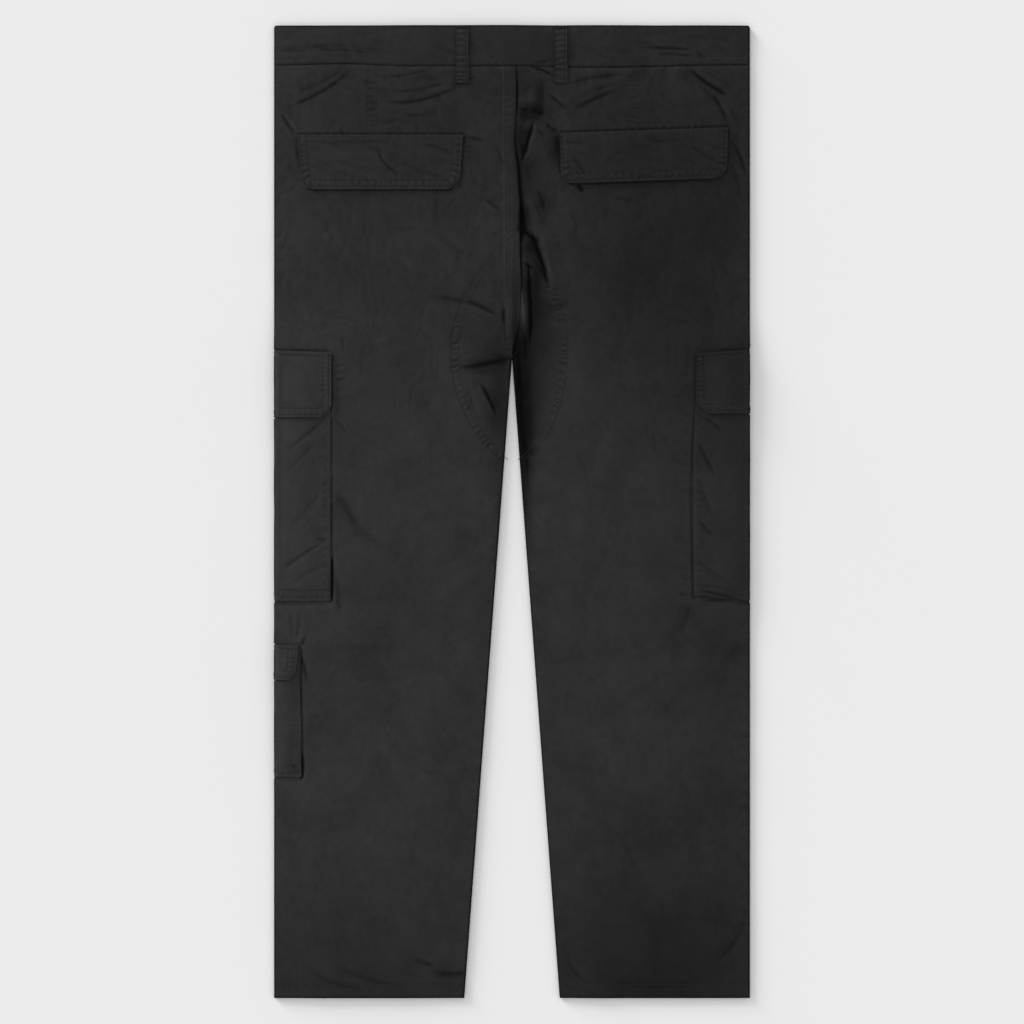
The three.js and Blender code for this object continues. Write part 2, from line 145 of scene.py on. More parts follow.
# Where a pocket wraps the outseam, the fold of the leg lies in by the thickness of the pocket and its flap.
def outseam(side, y):
    total = np.zeros(np.broadcast(side, y).shape)
    for low, high, thick in UNDERNEATH:
        wrapped_here = (side * HALF > low[0]) & (side * HALF < high[0])
        ends = step(y, low[1] - 1.2, low[1]) * (1 - step(y, high[1], high[1] + 1.2))
        total += thick * wrapped_here * ends
    return HALF - total


# Distance to the nearest edge of the outline, and the way out over it.
def nearest_edge(x, y):
    side = np.where(x < 0, -1.0, 1.0)
    outer = outseam(side, y) - np.abs(x)
    above = np.hypot(x, y - CROTCH)
    inner = np.where(y < CROTCH, np.abs(x) - inseam(y), above)
    is_outer = outer < inner
    upper = (~is_outer) & (y >= CROTCH) & (above > 0)
    safe = np.maximum(above, 1e-6)
    nx = np.where(is_outer, side, np.where(upper, -x / safe, -side))
    ny = np.where(upper, (CROTCH - y) / safe, 0.0)
    return np.where(is_outer, outer, inner), nx, ny


# Smooth random heights between -1 and 1, the same on every run.
def noise(u, v, seed):
    table = np.random.default_rng(seed).uniform(-1, 1, (64, 64))
    iu, iv = np.floor(u).astype(int), np.floor(v).astype(int)
    fu, fv = u - iu, v - iv
    fu, fv = fu**3 * (fu * (fu * 6 - 15) + 10), fv**3 * (fv * (fv * 6 - 15) + 10)
    a, b = table[iu % 64, iv % 64], table[(iu + 1) % 64, iv % 64]
    c, d = table[iu % 64, (iv + 1) % 64], table[(iu + 1) % 64, (iv + 1) % 64]
    return (a * (1 - fu) + b * fu) * (1 - fv) + (c * (1 - fu) + d * fu) * fv


# A point of the flattened tube of cloth: face is 1 on the back and -1 on the front, rise is how far the face
# stands off the middle of the tube, and out is the distance out of that face.
def tube_point(x, y, face, rise, out, seam=SEAM):
    distance, nx, ny = nearest_edge(x, y)
    turn = np.clip(1 - distance / EDGE, 0, 1)
    flat = np.sqrt(1 - turn * turn)
    z = lift(x, y) + LAY / 2 + face * (seam / 2 + flat * (rise - seam / 2 + out))
    return np.stack([x + nx * out * turn, y + ny * out * turn, z], axis=-1)


# Columns of a piece of cloth from an inner to an outer x: close at both ends, where the cloth turns, and even
# in between. The answer is a distance from the inner edge for each column.
ROUND = EDGE * (1 - np.cos(np.radians(np.linspace(0, 90, 7))))


def column_distances(span, near, far, middle):
    near, far = np.asarray(near), np.asarray(far)
    share = np.linspace(0, 1, middle + 2)[1:-1]
    start = np.full_like(span, near[-1])
    end = span - far[-1]
    between = start[:, None] + (end - start)[:, None] * share
    first = np.broadcast_to(near, (len(span), len(near)))
    last = span[:, None] - far[::-1]
    return np.concatenate([first, between, last], axis=1)


def quads_of_grid(rows, columns, offset=0, reverse=False):
    index = np.arange(rows * columns).reshape(rows, columns) + offset
    corners = [index[:-1, :-1], index[1:, :-1], index[1:, 1:], index[:-1, 1:]]
    quads = np.stack(corners, axis=-1).reshape(-1, 4)
    return quads[:, ::-1] if reverse else quads


# Signed distance of points from a line of points, and the length along it at which each is nearest.
def along_line(x, y, line):
    best = np.full(x.shape, np.inf)
    signed, length = np.zeros(x.shape), np.zeros(x.shape)
    done = 0.0
    for (x0, y0), (x1, y1) in zip(line[:-1], line[1:]):
        size = math.hypot(x1 - x0, y1 - y0)
        ux, uy = (x1 - x0) / size, (y1 - y0) / size
        along = np.clip((x - x0) * ux + (y - y0) * uy, 0, size)
        dx, dy = x - x0 - along * ux, y - y0 - along * uy
        distance = np.hypot(dx, dy)
        nearer = distance < best
        best = np.where(nearer, distance, best)
        signed = np.where(nearer, np.where(ux * dy - uy * dx >= 0, distance, -distance), signed)
        length = np.where(nearer, done + along, length)
        done += size
    return signed, length, done


def bent_line(start, bend, end, points=11):
    start, bend, end = np.array(start, float), np.array(bend, float), np.array(end, float)
    t = np.linspace(0, 1, points)[:, None]
    pull = 2 * bend - (start + end) / 2
    return (1 - t) ** 2 * start + 2 * t * (1 - t) * pull + t * t * end


# Creases: (start, bend, end, height, half width, lip), where the lip is the ridge beside the trough as a
# share of its depth, on the left of the way from start to end, or on the right where it is below zero.
def creased(x, y, table, depth=1.0):
    total = np.zeros(x.shape)
    for number, (start, bend, end, height, width, lip) in enumerate(table):
        line = bent_line(start, bend, end)
        (low_x, low_y), (high_x, high_y) = line.min(axis=0) - 4 * width, line.max(axis=0) + 4 * width
        near = (x > low_x) & (x < high_x) & (y > low_y) & (y < high_y)
        if not near.any():
            continue
        signed, length, full = along_line(x[near], y[near], line)
        share = length / full
        ends = step(np.minimum(share, 1 - share), 0, 0.36)
        breadth = width * (0.55 + 0.45 * ends + 0.25 * noise(length / 9, length * 0 + number, 31))
        t = signed / breadth * math.copysign(1, lip)
        t = t * np.where(t > 0, 1 + 0.35 * (lip != 0), 1 - 0.25 * (lip != 0))
        trough = 0.55 * np.exp(-((np.abs(t) / 0.34) ** 1.5)) + 0.45 * np.exp(-((t / 0.95) ** 2))
        ridge = 0.55 * abs(lip) * np.exp(-(((t - 1.5) / 0.8) ** 2))
        total[near] += depth * ends * height * (trough - ridge)
    return total


# Painted light and shade of each point of a piece, as a share of the cloth's own: paler on rubbed ridges,
# also as painted highlight, painted shade down in a crease, and broad soft patches of painted shade and
# painted light over
# the trousers: (x, y, half width, half height, share)
PAINTED_LIGHT_AND_SHADE = [
    (170, 270, 200, 260, -0.44),
    (-150, 320, 220, 250, -0.22),
    (30, 480, 620, 200, -0.25),
    (24, 400, 30, 130, -0.16),
    (13, 214, 9, 30, 1.7),
    (-4, 214, 12, 40, 0.12),
    (20, 431, 24, 16, -0.62),
    (30, 446, 10, 36, -0.28),
    (8, 402, 14, 32, -0.46),
    (16, 368, 24, 32, -0.40),
    (48, 392, 12, 30, -0.30),
    (22, 335, 34, 34, -0.26),
    (34, 335, 6, 16, -0.20),
    (13, 322, 9, 17, -0.46),
    (13, 309, 15, 24, -0.50),
    (18, 286, 18, 22, -0.66),
    (28, 262, 14, 28, -0.36),
    (22, 250, 20, 34, -0.40),
    (28, 222, 22, 40, -0.26),
    (-18, 162, 26, 36, -0.40),
    (-14, 112, 18, 46, -0.42),
    (-235, 30, 90, 260, 0.06),
    (235, -40, 110, 420, -0.14),
    (150, -560, 220, 340, -0.50),
    (-150, -570, 240, 260, -0.42),
]
# Painted shadow in the hollow beside the right leg's inseam, how dark and how far it reaches: (y, share,
# reach).
# The left leg has only a share of it.
PAINTED_INSEAM_SHADOW = np.array([
    [-60, 0.0, 8], [12, 0.70, 8], [56, 0.84, 16], [99, 0.92, 24],
    [142, 0.92, 32], [185, 0.85, 45], [235, 0.5, 36], [300, 0.0, 20],
])
LEFT_INSEAM_SHADOW_SHARE = 0.42
# Painted shade along the turned edge of the outline, and painted light that makes the whole a little paler
# to the left.
PAINTED_EDGE_SHADE, EDGE_REACH = 0.93, 1.7
PAINTED_LIGHT_SLOPE = -0.12
# How much paler a ridge of a certain height is, as rubbed cloth and as painted highlight, and the depths over
# which creases and hollows take painted shade.
RUBBED_AND_HIGHLIGHT, RIDGE_LIGHT_HEIGHT = 0.18, 0.32
SHADED_CREASE_DEPTH, SHADED_HOLLOW_DEPTH = 0.62, 6.0
# How dark the listed creases are painted: painted shade.
PAINTED_CREASE_SHADE = 0.34


# Heights averaged over the points around each.
def evened(z, reach):
    size = 2 * reach + 1
    for axis in (0, 1):
        ends = [(reach + 1, reach) if a == axis else (0, 0) for a in (0, 1)]
        total = np.cumsum(np.pad(z, ends, mode="edge"), axis=axis)
        after, before = range(size, total.shape[axis]), range(z.shape[axis])
        z = (np.take(total, after, axis) - np.take(total, before, axis)) / size
    return z


def shade_of(points, sunken):
    x, y, z = (points[..., i] for i in range(3))
    near, wide = z - evened(z, 2), z - evened(z, 7)
    uneven = 0.05 * noise(x / 60, y / 80, 50) + 0.04 * noise(x / 14, y / 30, 51)
    # Random unevenness of tone, and painted light that is paler to the left.
    shade = 1 + PAINTED_LIGHT_SLOPE * x / HALF + uneven
    # Broad soft patches of painted shade, and a few of painted light.
    for x0, y0, half_width, half_height, share in PAINTED_LIGHT_AND_SHADE:
        shade = shade + share * bell(np.hypot((x - x0) / half_width, (y - y0) / half_height))
    # Painted shadow beside the inseams, darkest at the edge.
    from_inseam = np.maximum(np.abs(x) - np.maximum(inseam(y), 8 * step(y, 150, 230)), 0)
    share, reach = (np.interp(y, PAINTED_INSEAM_SHADOW[:, 0], PAINTED_INSEAM_SHADOW[:, i]) for i in (1, 2))
    inseam_shadow = share * np.exp(-((from_inseam / reach) ** 2.2)) * np.where(x > 0, 1, LEFT_INSEAM_SHADOW_SHARE)
    # Painted shade on the turned edges of the outline.
    from_leg = np.where(y < CROTCH, np.abs(x) - inseam(y), HALF)
    rim = np.maximum(np.min([HALF - np.abs(x), from_leg, WAIST - y, y - HEM], axis=0), 0)
    edge = 1 - PAINTED_EDGE_SHADE * np.exp(-((rim / EDGE_REACH) ** 2))
    shade = np.maximum(shade, 0.2) * (1 - inseam_shadow) * edge
    # Ridges paler, as rubbed cloth and as painted highlight; creases and hollows darker, as painted shade.
    worn_and_lit = 1 + RUBBED_AND_HIGHLIGHT * np.clip(near / RIDGE_LIGHT_HEIGHT, 0, 1)
    sunk = np.exp(-np.clip(-near / SHADED_CREASE_DEPTH, 0, 1.3) - np.clip(-wide / SHADED_HOLLOW_DEPTH, 0, 1.0))
    crease_shadow = np.exp(PAINTED_CREASE_SHADE * np.minimum(sunken(x, y), 0)) if sunken else 1.0
    return shade * worn_and_lit * sunk * crease_shadow


def every_other(count):
    return np.unique(np.append(np.arange(0, count, 2), count - 1))


def border_of(index):
    return np.concatenate([index[0, :], index[1:, -1], index[-1, -2::-1], index[-2:0:-1, 0]])


# A closed shell between an outer and an inner grid of points, as a Blender object in the frame. The inner
# face, which doesn't show, has every other row and column, drawn away from the outer one where that is
# creased.
def cloth_object(name, outer, inner, material, facing=0, sunken=None):
    rows, columns, _ = outer.shape
    inner = inner.copy()
    if facing:
        z = np.pad(facing * inner[..., 2], 1, mode="edge")
        around = [z[i : i + rows, j : j + columns] for i in range(3) for j in range(3)]
        inner[..., 2] = facing * np.min(around, axis=0)
    keep = np.ix_(every_other(rows), every_other(columns))
    inner = inner[keep]
    index = np.arange(rows * columns).reshape(rows, columns)
    inner_index = np.arange(inner[..., 0].size).reshape(inner.shape[:2])
    quads = quads_of_grid(rows, columns).tolist()
    quads += quads_of_grid(*inner.shape[:2], rows * columns, reverse=True).tolist()
    fine, coarse = border_of(index), border_of(inner_index) + rows * columns
    met = border_of(index[keep])
    order = np.argsort(fine)
    places = np.append(order[np.searchsorted(fine[order], met)], len(fine))
    fine, coarse = np.append(fine, fine[0]), np.append(coarse, coarse[0])
    rim = [
        [*fine[places[i] : places[i + 1] + 1][::-1].tolist(), int(coarse[i]), int(coarse[i + 1])]
        for i in range(len(met))
    ]
    points = np.concatenate([outer.reshape(-1, 3), inner.reshape(-1, 3)]) * MM
    mesh = bpy.data.meshes.new(name)
    mesh.from_pydata(points.tolist(), [], quads + rim)
    row, column = rows // 2, columns // 3
    here, below, beside = outer[row, column], outer[row + 1, column], outer[row, column + 1]
    outward = here - inner[row // 2, column // 2]
    if np.dot(np.cross(below - here, beside - here), outward) < 0:
        mesh.flip_normals()
    # The shade attribute: painted shade and painted light, with random tone and rubbed ridges.
    shade = mesh.attributes.new("shade", "FLOAT", "POINT")
    shades = shade_of(outer, sunken)
    values = np.concatenate([shades.ravel(), shades[keep].ravel()])
    shade.data.foreach_set("value", values.astype(np.float32))
    mesh.shade_smooth()
    mesh.materials.append(material)
    piece = bpy.data.objects.new(name, mesh)
    bpy.context.collection.objects.link(piece)
    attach(piece, "root")
    return piece


# Cotton twill: a matt charcoal-black cloth with fine slanting ribs, slightly cloudy. Its colour is scaled by
# the shade attribute, which holds painted shade and painted light, and paler rubbed ridges that are partly
# painted highlight.
def twill(name, tone, rib_angle=63.0, cloud=0.24):
    material = bpy.data.materials.new(name)
    material.use_nodes = True
    nodes, links = material.node_tree.nodes, material.node_tree.links
    shader = nodes["Principled BSDF"]
    shader.inputs["Roughness"].default_value = 0.88
    shader.inputs["Specular IOR Level"].default_value = 0.08
    shader.inputs["Sheen Weight"].default_value = 0.012
    shader.inputs["Sheen Roughness"].default_value = 0.45
    place = nodes.new("ShaderNodeTexCoord")

    def clouds(scale, detail, roughness):
        node = nodes.new("ShaderNodeTexNoise")
        node.inputs["Scale"].default_value = scale
        node.inputs["Detail"].default_value = detail
        node.inputs["Roughness"].default_value = roughness
        links.new(place.outputs["Object"], node.inputs["Vector"])
        return node.outputs["Fac"]

    def math_node(operation, a, b):
        node = nodes.new("ShaderNodeMath")
        node.operation = operation
        for socket, value in zip(node.inputs, (a, b)):
            if isinstance(value, (int, float)):
                socket.default_value = value
            else:
                links.new(value, socket)
        return node.outputs["Value"]

    wide = clouds(22.0, 4.0, 0.6)
    patches = clouds(95.0, 2.0, 0.6)
    close = clouds(260.0, 3.0, 0.7)
    mottle = math_node("ADD", math_node("MULTIPLY", wide, 0.44), math_node("MULTIPLY", patches, 0.24))
    mottle = math_node("ADD", mottle, math_node("MULTIPLY", close, 0.32))
    ramp = nodes.new("ShaderNodeValToRGB")
    ramp.color_ramp.elements[0].position = 0.3
    ramp.color_ramp.elements[1].position = 0.7
    for element, share in zip(ramp.color_ramp.elements, (1 - cloud, 1 + cloud)):
        element.color = (*[channel * share for channel in tone], 1)
    links.new(mottle, ramp.inputs["Fac"])
    # Painted shade and painted light from the shade attribute scale the cloth's colour.
    shade = nodes.new("ShaderNodeAttribute")
    shade.attribute_name = "shade"
    shaded = nodes.new("ShaderNodeVectorMath")
    shaded.operation = "SCALE"
    links.new(ramp.outputs["Color"], shaded.inputs["Vector"])
    links.new(shade.outputs["Fac"], shaded.inputs["Scale"])
    links.new(shaded.outputs["Vector"], shader.inputs["Base Color"])

    turned = nodes.new("ShaderNodeMapping")
    turned.inputs["Rotation"].default_value = (0, 0, math.radians(rib_angle))
    links.new(place.outputs["Object"], turned.inputs["Vector"])
    ribs = nodes.new("ShaderNodeTexWave")
    ribs.inputs["Scale"].default_value = 0.314 / (0.8 * MM)
    ribs.inputs["Distortion"].default_value = 0.6
    ribs.inputs["Detail"].default_value = 1.0
    links.new(turned.outputs["Vector"], ribs.inputs["Vector"])
    slub = clouds(700.0, 2.0, 0.6)
    weave = math_node("ADD", math_node("MULTIPLY", ribs.outputs["Fac"], 0.5), slub)
    bump = nodes.new("ShaderNodeBump")
    bump.inputs["Strength"].default_value = 0.35
    bump.inputs["Distance"].default_value = 0.3 * MM
    links.new(weave, bump.inputs["Height"])
    links.new(bump.outputs["Normal"], shader.inputs["Normal"])
    return material


TWILL_TONE = (0.0252, 0.0252, 0.0256)
panel_twill = twill("panel_twill", TWILL_TONE)

FRONT_ROWS = np.linspace(WAIST_SEAM - SEAM / 2, HEM, 150)


# The front's own creases are shallow dents upwards, so that it still rests flat.
def front_rise(x, y):
    dents = 0.5 * np.clip(noise(x / 45, y / 90, 5), 0, 1) + 0.25 * np.clip(noise(x / 16, y / 40, 6), 0, 1)
    inside = step(nearest_edge(x, y)[0], 4, 30)
    return LAY / 2 - dents * inside


def front_points(side, inner_face):
    y = FRONT_ROWS
    inner, outer = inseam(y), outseam(side, y)
    distances = column_distances(outer - inner, [*ROUND, 6], [*ROUND, 6, 14, 26], 44)
    x = side * (inner[:, None] + distances)
    rows = np.broadcast_to(y[:, None], x.shape)
    return tube_point(x, rows, -1, front_rise(x, rows), -CLOTH * inner_face)


for side, name in ((-1, "left"), (1, "right")):
    outer, inner = front_points(side, 0), front_points(side, 1)
    panel = cloth_object(f"front_{name}_cloth", outer, inner, panel_twill, -1)
    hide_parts(f"front_{name}")


# Back panels: a piece of the same twill for each leg, lying on the front one. The left one laps over the
# right in a flat-felled seat seam, a half-moon gusset is let into each at the crotch, and the waist drags
# the cloth into creases that run towards the belt loops, pockets and seams. Way of the seat seam from the
# waist down: (y, x)
SEAT_SEAM = np.array([
    [WAIST_SEAM, 4.3], [434, 4.2], [400, 2.8], [360, 6.2], [330, 8.0],
    [280, 8.2], [250, 9.4], [212, 8.0], [CROTCH, 0],
])
# The lap ends on the left in a soft step, which follows only a share of the seam's bends.
LAP_LEFT, LAP_HEIGHT, LAP_SHOULDER = -9.6, 0.55, 3.0
LAP_FOLLOWS = 0.25
SOFT_FADE = 55.0

# Large folds, as in the solid: (start, end, height, half width)
FOLDS = [
    ((13, 474), (14, 330), -1.0, 12),
    ((30, 440), (35, 345), 1.4, 20),
    ((22, 328), (44, 236), 2.0, 20),
    ((20, 192), (23, 70), -0.9, 14),
    ((8, 160), (14, 76), 0.6, 8),
    ((-74, 230), (-26, 214), -0.5, 16),
    ((-60, 156), (-14, 162), -0.7, 15),
    ((-34, 136), (-16, 98), -0.6, 13),
    ((-238, 438), (-184, 464), -0.6, 20),
    ((-142, 443), (-66, 461), -0.6, 20),
    ((64, 433), (120, 457), -0.6, 20),
    ((190, 476), (216, 450), -0.8, 18),
    ((-190, 24), (-166, -22), -0.5, 24),
    ((188, -112), (176, -150), -0.4, 24),
    ((-104, -492), (-66, -497), -0.5, 22),
    ((236, -440), (222, -500), -0.4, 26),
]

# The deep fold beside the seat seam, and the hollow along the right inseam
SEAT_CREASES = [
    ((10, 330), (14, 314), (13, 297), -1.6, 7, 0),
    ((8, 437), (13, 434), (19, 433), -0.6, 2.5, 0.2),
    ((31, 468), (33, 452), (31, 432), -0.8, 6, 0),
    ((19, 434), (28, 431), (37, 428), -1.8, 8, 0),
    ((24.5, 426), (17.6, 400), (8.6, 372), -3.8, 3.8, 0.2),
    ((27, 415), (30, 410), (35, 402), -0.8, 2.6, 0),
    ((28, 412), (33, 396), (39, 372), 0.5, 9, 0),
    ((35, 422), (43, 414), (52, 409), -0.9, 3, 0.2),
    ((46, 412), (48.5, 396), (46, 378), -0.9, 7, 0),
    ((25, 350), (32, 338), (35, 322), -1.0, 4.2, 0.2),
    ((13, 338), (24, 328), (31, 304), 1.5, 6, 0),
    ((4, 307), (17, 300), (31, 286), -3.2, 6.2, 0),
    ((19, 306), (31, 275), (42, 236), -4.8, 5.4, 0.2),
    ((10, 269), (17, 266), (24, 260), -1.4, 2.6, 0),
    ((16.4, 282), (19.4, 230), (19.6, 170), -4.2, 4.2, 0),
    ((26, 264), (27, 228), (25, 186), -0.9, 12, 0),
    ((9.0, 246), (13, 218), (15.6, 186), 1.8, 4.6, 0),
    ((-7.4, 236), (-8.2, 208), (-6.2, 176), -0.8, 3, 0.2),
    ((-8.6, 222), (-8.8, 212), (-7.6, 200), -1.0, 3.4, 0),
    ((13, 194), (15, 176), (14, 158), -2.0, 5, 0),
    ((7, 196), (9, 150), (12, 96), -2.4, 7, 0),
    ((6, 180), (11, 110), (20, 16), -2.4, 9, 0),
    ((20, 190), (19, 120), (24, 40), -0.9, 13, 0),
    ((-63, 155), (-28, 160), (14, 170), -2.0, 8, 0.15),
    ((-50, 150), (-30, 150), (-8, 154), -0.5, 10, 0),
    ((-36, 141), (-26, 124), (-15, 99), -2.6, 3.8, -0.3),
    ((-25, 138), (-18, 124), (-12, 106), -0.7, 8, 0),
]

# Smaller creases of the seat and legs
PANEL_CREASES = [
    ((-244, 436), (-202, 455), (-172, 476), -0.85, 4.6, 0.3),
    ((-238, 452), (-206, 462), (-180, 478), -0.35, 4, 0.3),
    ((-250, 433), (-243, 420), (-232, 406), -1.0, 3, 0.4),
    ((-146, 469), (-115, 471), (-80, 480), -0.55, 3, 0.2),
    ((-143, 458), (-112, 454), (-64, 466), -0.5, 3.6, 0.3),
    ((-143, 445), (-104, 443), (-48, 463), -0.85, 4.4, 0.4),
    ((-74, 456), (-56, 464), (-34, 471), -0.5, 4, 0.2),
    ((-120, 431), (-100, 428), (-76, 434), -0.35, 5, 0.3),
    ((-56, 406), (-41, 403), (-27, 399), -0.6, 3, 0.2),
    ((-30, 336), (-21, 331), (-11, 323), -0.7, 5, -0.5),
    ((-17, 398), (-13, 386), (-9, 372), -0.5, 3, 0.3),
    ((-17, 360), (-14, 354), (-9, 347), -0.4, 3, 0.2),
    ((54, 460), (86, 469), (130, 474), -0.5, 4, 0.3),
    ((60, 431), (84, 443), (118, 459), -0.85, 4, 0.4),
    ((66, 447), (90, 456), (120, 464), -0.35, 4, 0.3),
    ((37, 454), (50, 442), (63, 432), -0.8, 3.6, 0.4),
    ((16, 480), (32, 477), (47, 469), -1.3, 3.6, 0.3),
    ((189, 481), (211, 462), (238, 448), -1.5, 4.4, 0.8),
    ((200, 463), (214, 450), (232, 436), -0.45, 5, 0.4),
    ((216, 451), (226, 435), (234, 418), -0.8, 4, 0.4),
    ((235, 404), (246, 384), (254, 358), -0.85, 4, 0.3),
    ((236, 380), (243, 358), (247, 332), -0.4, 5, 0.3),
    ((70, 355), (74, 350), (78, 344), -1.6, 3, 0.2),
    ((106, 341), (122, 337), (140, 334), -0.4, 5, 0.3),
    ((-80, 231), (-66, 230), (-48, 225), -0.6, 7, 0.2),
    ((-54, 229), (-36, 222), (-13, 210), -1.1, 4.4, -0.3),
    ((-48, 142), (-44, 120), (-34, 95), -0.4, 6, 0.3),
    ((-196, 101), (-185, 94), (-177, 80), -0.4, 4, 0.2),
    ((-193, 143), (-187, 143), (-179, 144), -0.35, 3, 0.2),
    ((-186, 190), (-182, 181), (-184, 169), -0.5, 3, 0.3),
    ((-193, 24), (-181, 8), (-166, -20), -0.6, 13, 0.6),
    ((-176, 0), (-156, -26), (-136, -44), -0.3, 15, 0.4),
    ((-192, -54), (-188, -85), (-184, -120), -0.45, 6, 0.3),
    ((196, -94), (189, -112), (180, -138), -0.45, 9, 0.4),
    ((192, -92), (186, -90), (176, -86), -0.4, 3, 0.2),
    ((-240, -102), (-238, -120), (-237, -140), -0.35, 3, 0.3),
    ((-228, -106), (-230, -122), (-233, -142), -0.35, 3, 0.3),
    ((-231, -147), (-225, -163), (-220, -186), -0.8, 3, 0.3),
    ((-194.4, -40), (-194.2, -74), (-194.8, -104), -1.6, 2.4, 0),
    ((-226.4, -258), (-226.2, -274), (-227.4, -294), -1.8, 2.4, 0),
    ((-231, -147), (-226, -140), (-221, -132), -0.6, 3, 0.3),
    ((-92, -495), (-70, -499), (-40, -496), -0.9, 10, 0.3),
    ((-110, -481), (-96, -486), (-80, -491), -0.55, 5, 0.2),
    ((-226, -480), (-205, -503), (-146, -519), -0.35, 7, 0.3),
    ((-192, -481), (-170, -499), (-114, -513), -0.3, 7, 0.3),
    ((60, -476), (66, -494), (82, -508), -0.45, 5, 0.3),
    ((94, -500), (150, -512), (210, -503), -0.3, 9, 0.3),
    ((254, -424), (242, -462), (216, -490), -0.5, 7, 0.3),
]


# The valley on the right of the lap, where the seat is drawn in: (y, depth, half width) from the waist down
SEAM_VALLEY = np.array([
    [478, 0.6, 2.2], [458, 2.6, 2.4], [438, 2.2, 2.4], [427, 0.9, 1.8], [404, 1.0, 1.8], [390, 2.2, 2.4],
    [370, 3.4, 3.4], [346, 4.4, 4.2], [302, 4.8, 4.4], [290, 2.2, 2.6], [268, 2.4, 2.4], [250, 1.6, 2.0],
    [236, 0.3, 1.6], [200, 0.3, 1.6], [188, 1.2, 2.4], [CROTCH, 2.2, 3.0],
])


def seam_valley(x, y):
    high_first = SEAM_VALLEY[::-1]
    depth, width = (np.interp(y, high_first[:, 0], high_first[:, i]) for i in (1, 2))
    from_seam = (x - seat_seam(y)) / width
    shape = step(from_seam, 0, 0.3) * np.exp(-((np.maximum(from_seam, 0) / 1.1) ** 1.6))
    return -depth * shape * step(y, CROTCH - 3, CROTCH + 6)


# Crease depths that set the back's painted crease shade.
def back_sunken(x, y):
    return creased(x, y, ALL_CREASES) + seam_valley(x, y)


# Puckers that sewing draws up across a line: (line, pitch, height, reach, slant)
def puckered(x, y, seams, seed):
    total = np.zeros(x.shape)
    for number, (line, pitch, height, reach, slant) in enumerate(seams):
        line = np.asarray(line, float)
        (low_x, low_y), (high_x, high_y) = line.min(axis=0) - 3 * reach, line.max(axis=0) + 3 * reach
        near = (x > low_x) & (x < high_x) & (y > low_y) & (y < high_y)
        if not near.any():
            continue
        signed, length, full = along_line(x[near], y[near], line)
        stray = noise(length / (2.5 * pitch), signed / (2 * reach) + number, seed + number)
        strength = 0.55 + 0.75 * noise(length / (3 * pitch) + 7, signed / (2 * reach), seed + number)
        wave = np.sin(2 * np.pi * ((length + slant * signed) / pitch + 0.9 * stray))
        ends = step(length, 0, 0.7 * pitch) * step(full - length, 0, 0.7 * pitch)
        total[near] += height * ends * strength * wave * np.exp(-((signed / reach) ** 2))
    return total


ALL_CREASES = SEAT_CREASES + PANEL_CREASES


def seat_seam(y):
    index = np.clip(np.searchsorted(-SEAT_SEAM[:, 0], -y, side="left"), 1, len(SEAT_SEAM) - 1)
    above, below = SEAT_SEAM[index - 1], SEAT_SEAM[index]
    return below[..., 1] + (above[..., 1] - below[..., 1]) * step(y, below[..., 0], above[..., 0])


# Curved edge of the gussets, which is widest at its middle: side: (half width, height above the middle, and
# how pointed it is above and below)
GUSSET_TOP, GUSSET_BOTTOM, GUSSET_MIDDLE, GUSSET_TIP = 303.0, 52.0, 172.0, 0.8
GUSSET_SEAM = 0.06
GUSSET_ARC = {-1: (67.0, 124.0, 0.85, 0.72), 1: (61.0, 128.0, 0.80, 0.60)}
ARC_TOP = 286.0


def back_inner(side, y):
    return np.where(y > CROTCH, seat_seam(y) + side * SEAM / 2, side * inseam(y))


def gusset_seam(side, y):
    reach, upper_height, upper, lower = GUSSET_ARC[side]
    t = (y - GUSSET_MIDDLE) / np.where(y > GUSSET_MIDDLE, upper_height, GUSSET_MIDDLE - GUSSET_BOTTOM + 2)
    left = 1 - t * t
    arc = reach * np.sign(left) * np.abs(left) ** np.where(t > 0, upper, lower)
    return side * np.maximum(arc, side * back_inner(side, y) + GUSSET_TIP)


def gusset_line(side, offset=0.0, points=60):
    y = np.linspace(ARC_TOP, GUSSET_BOTTOM, points)
    x = gusset_seam(side, y) + side * offset
    return np.stack([x, y], axis=1)


# Rows of stitching on the lap, two on each dart, and one round each hem
SEAT_ROWS = (-8.3, -4.4, 0.0)
SEAT_Y = np.linspace(WAIST_SEAM, CROTCH, 40)
SEAT_LINE = np.stack([seat_seam(SEAT_Y), SEAT_Y], axis=1)
DARTS = [
    ((-157.5, 477), (-156.5, 408)), ((-147, 477), (-147.5, 408)),
    ((124, 471), (125, 415)), ((134, 471), (134, 415)),
]
HEM_ROW = 14.5

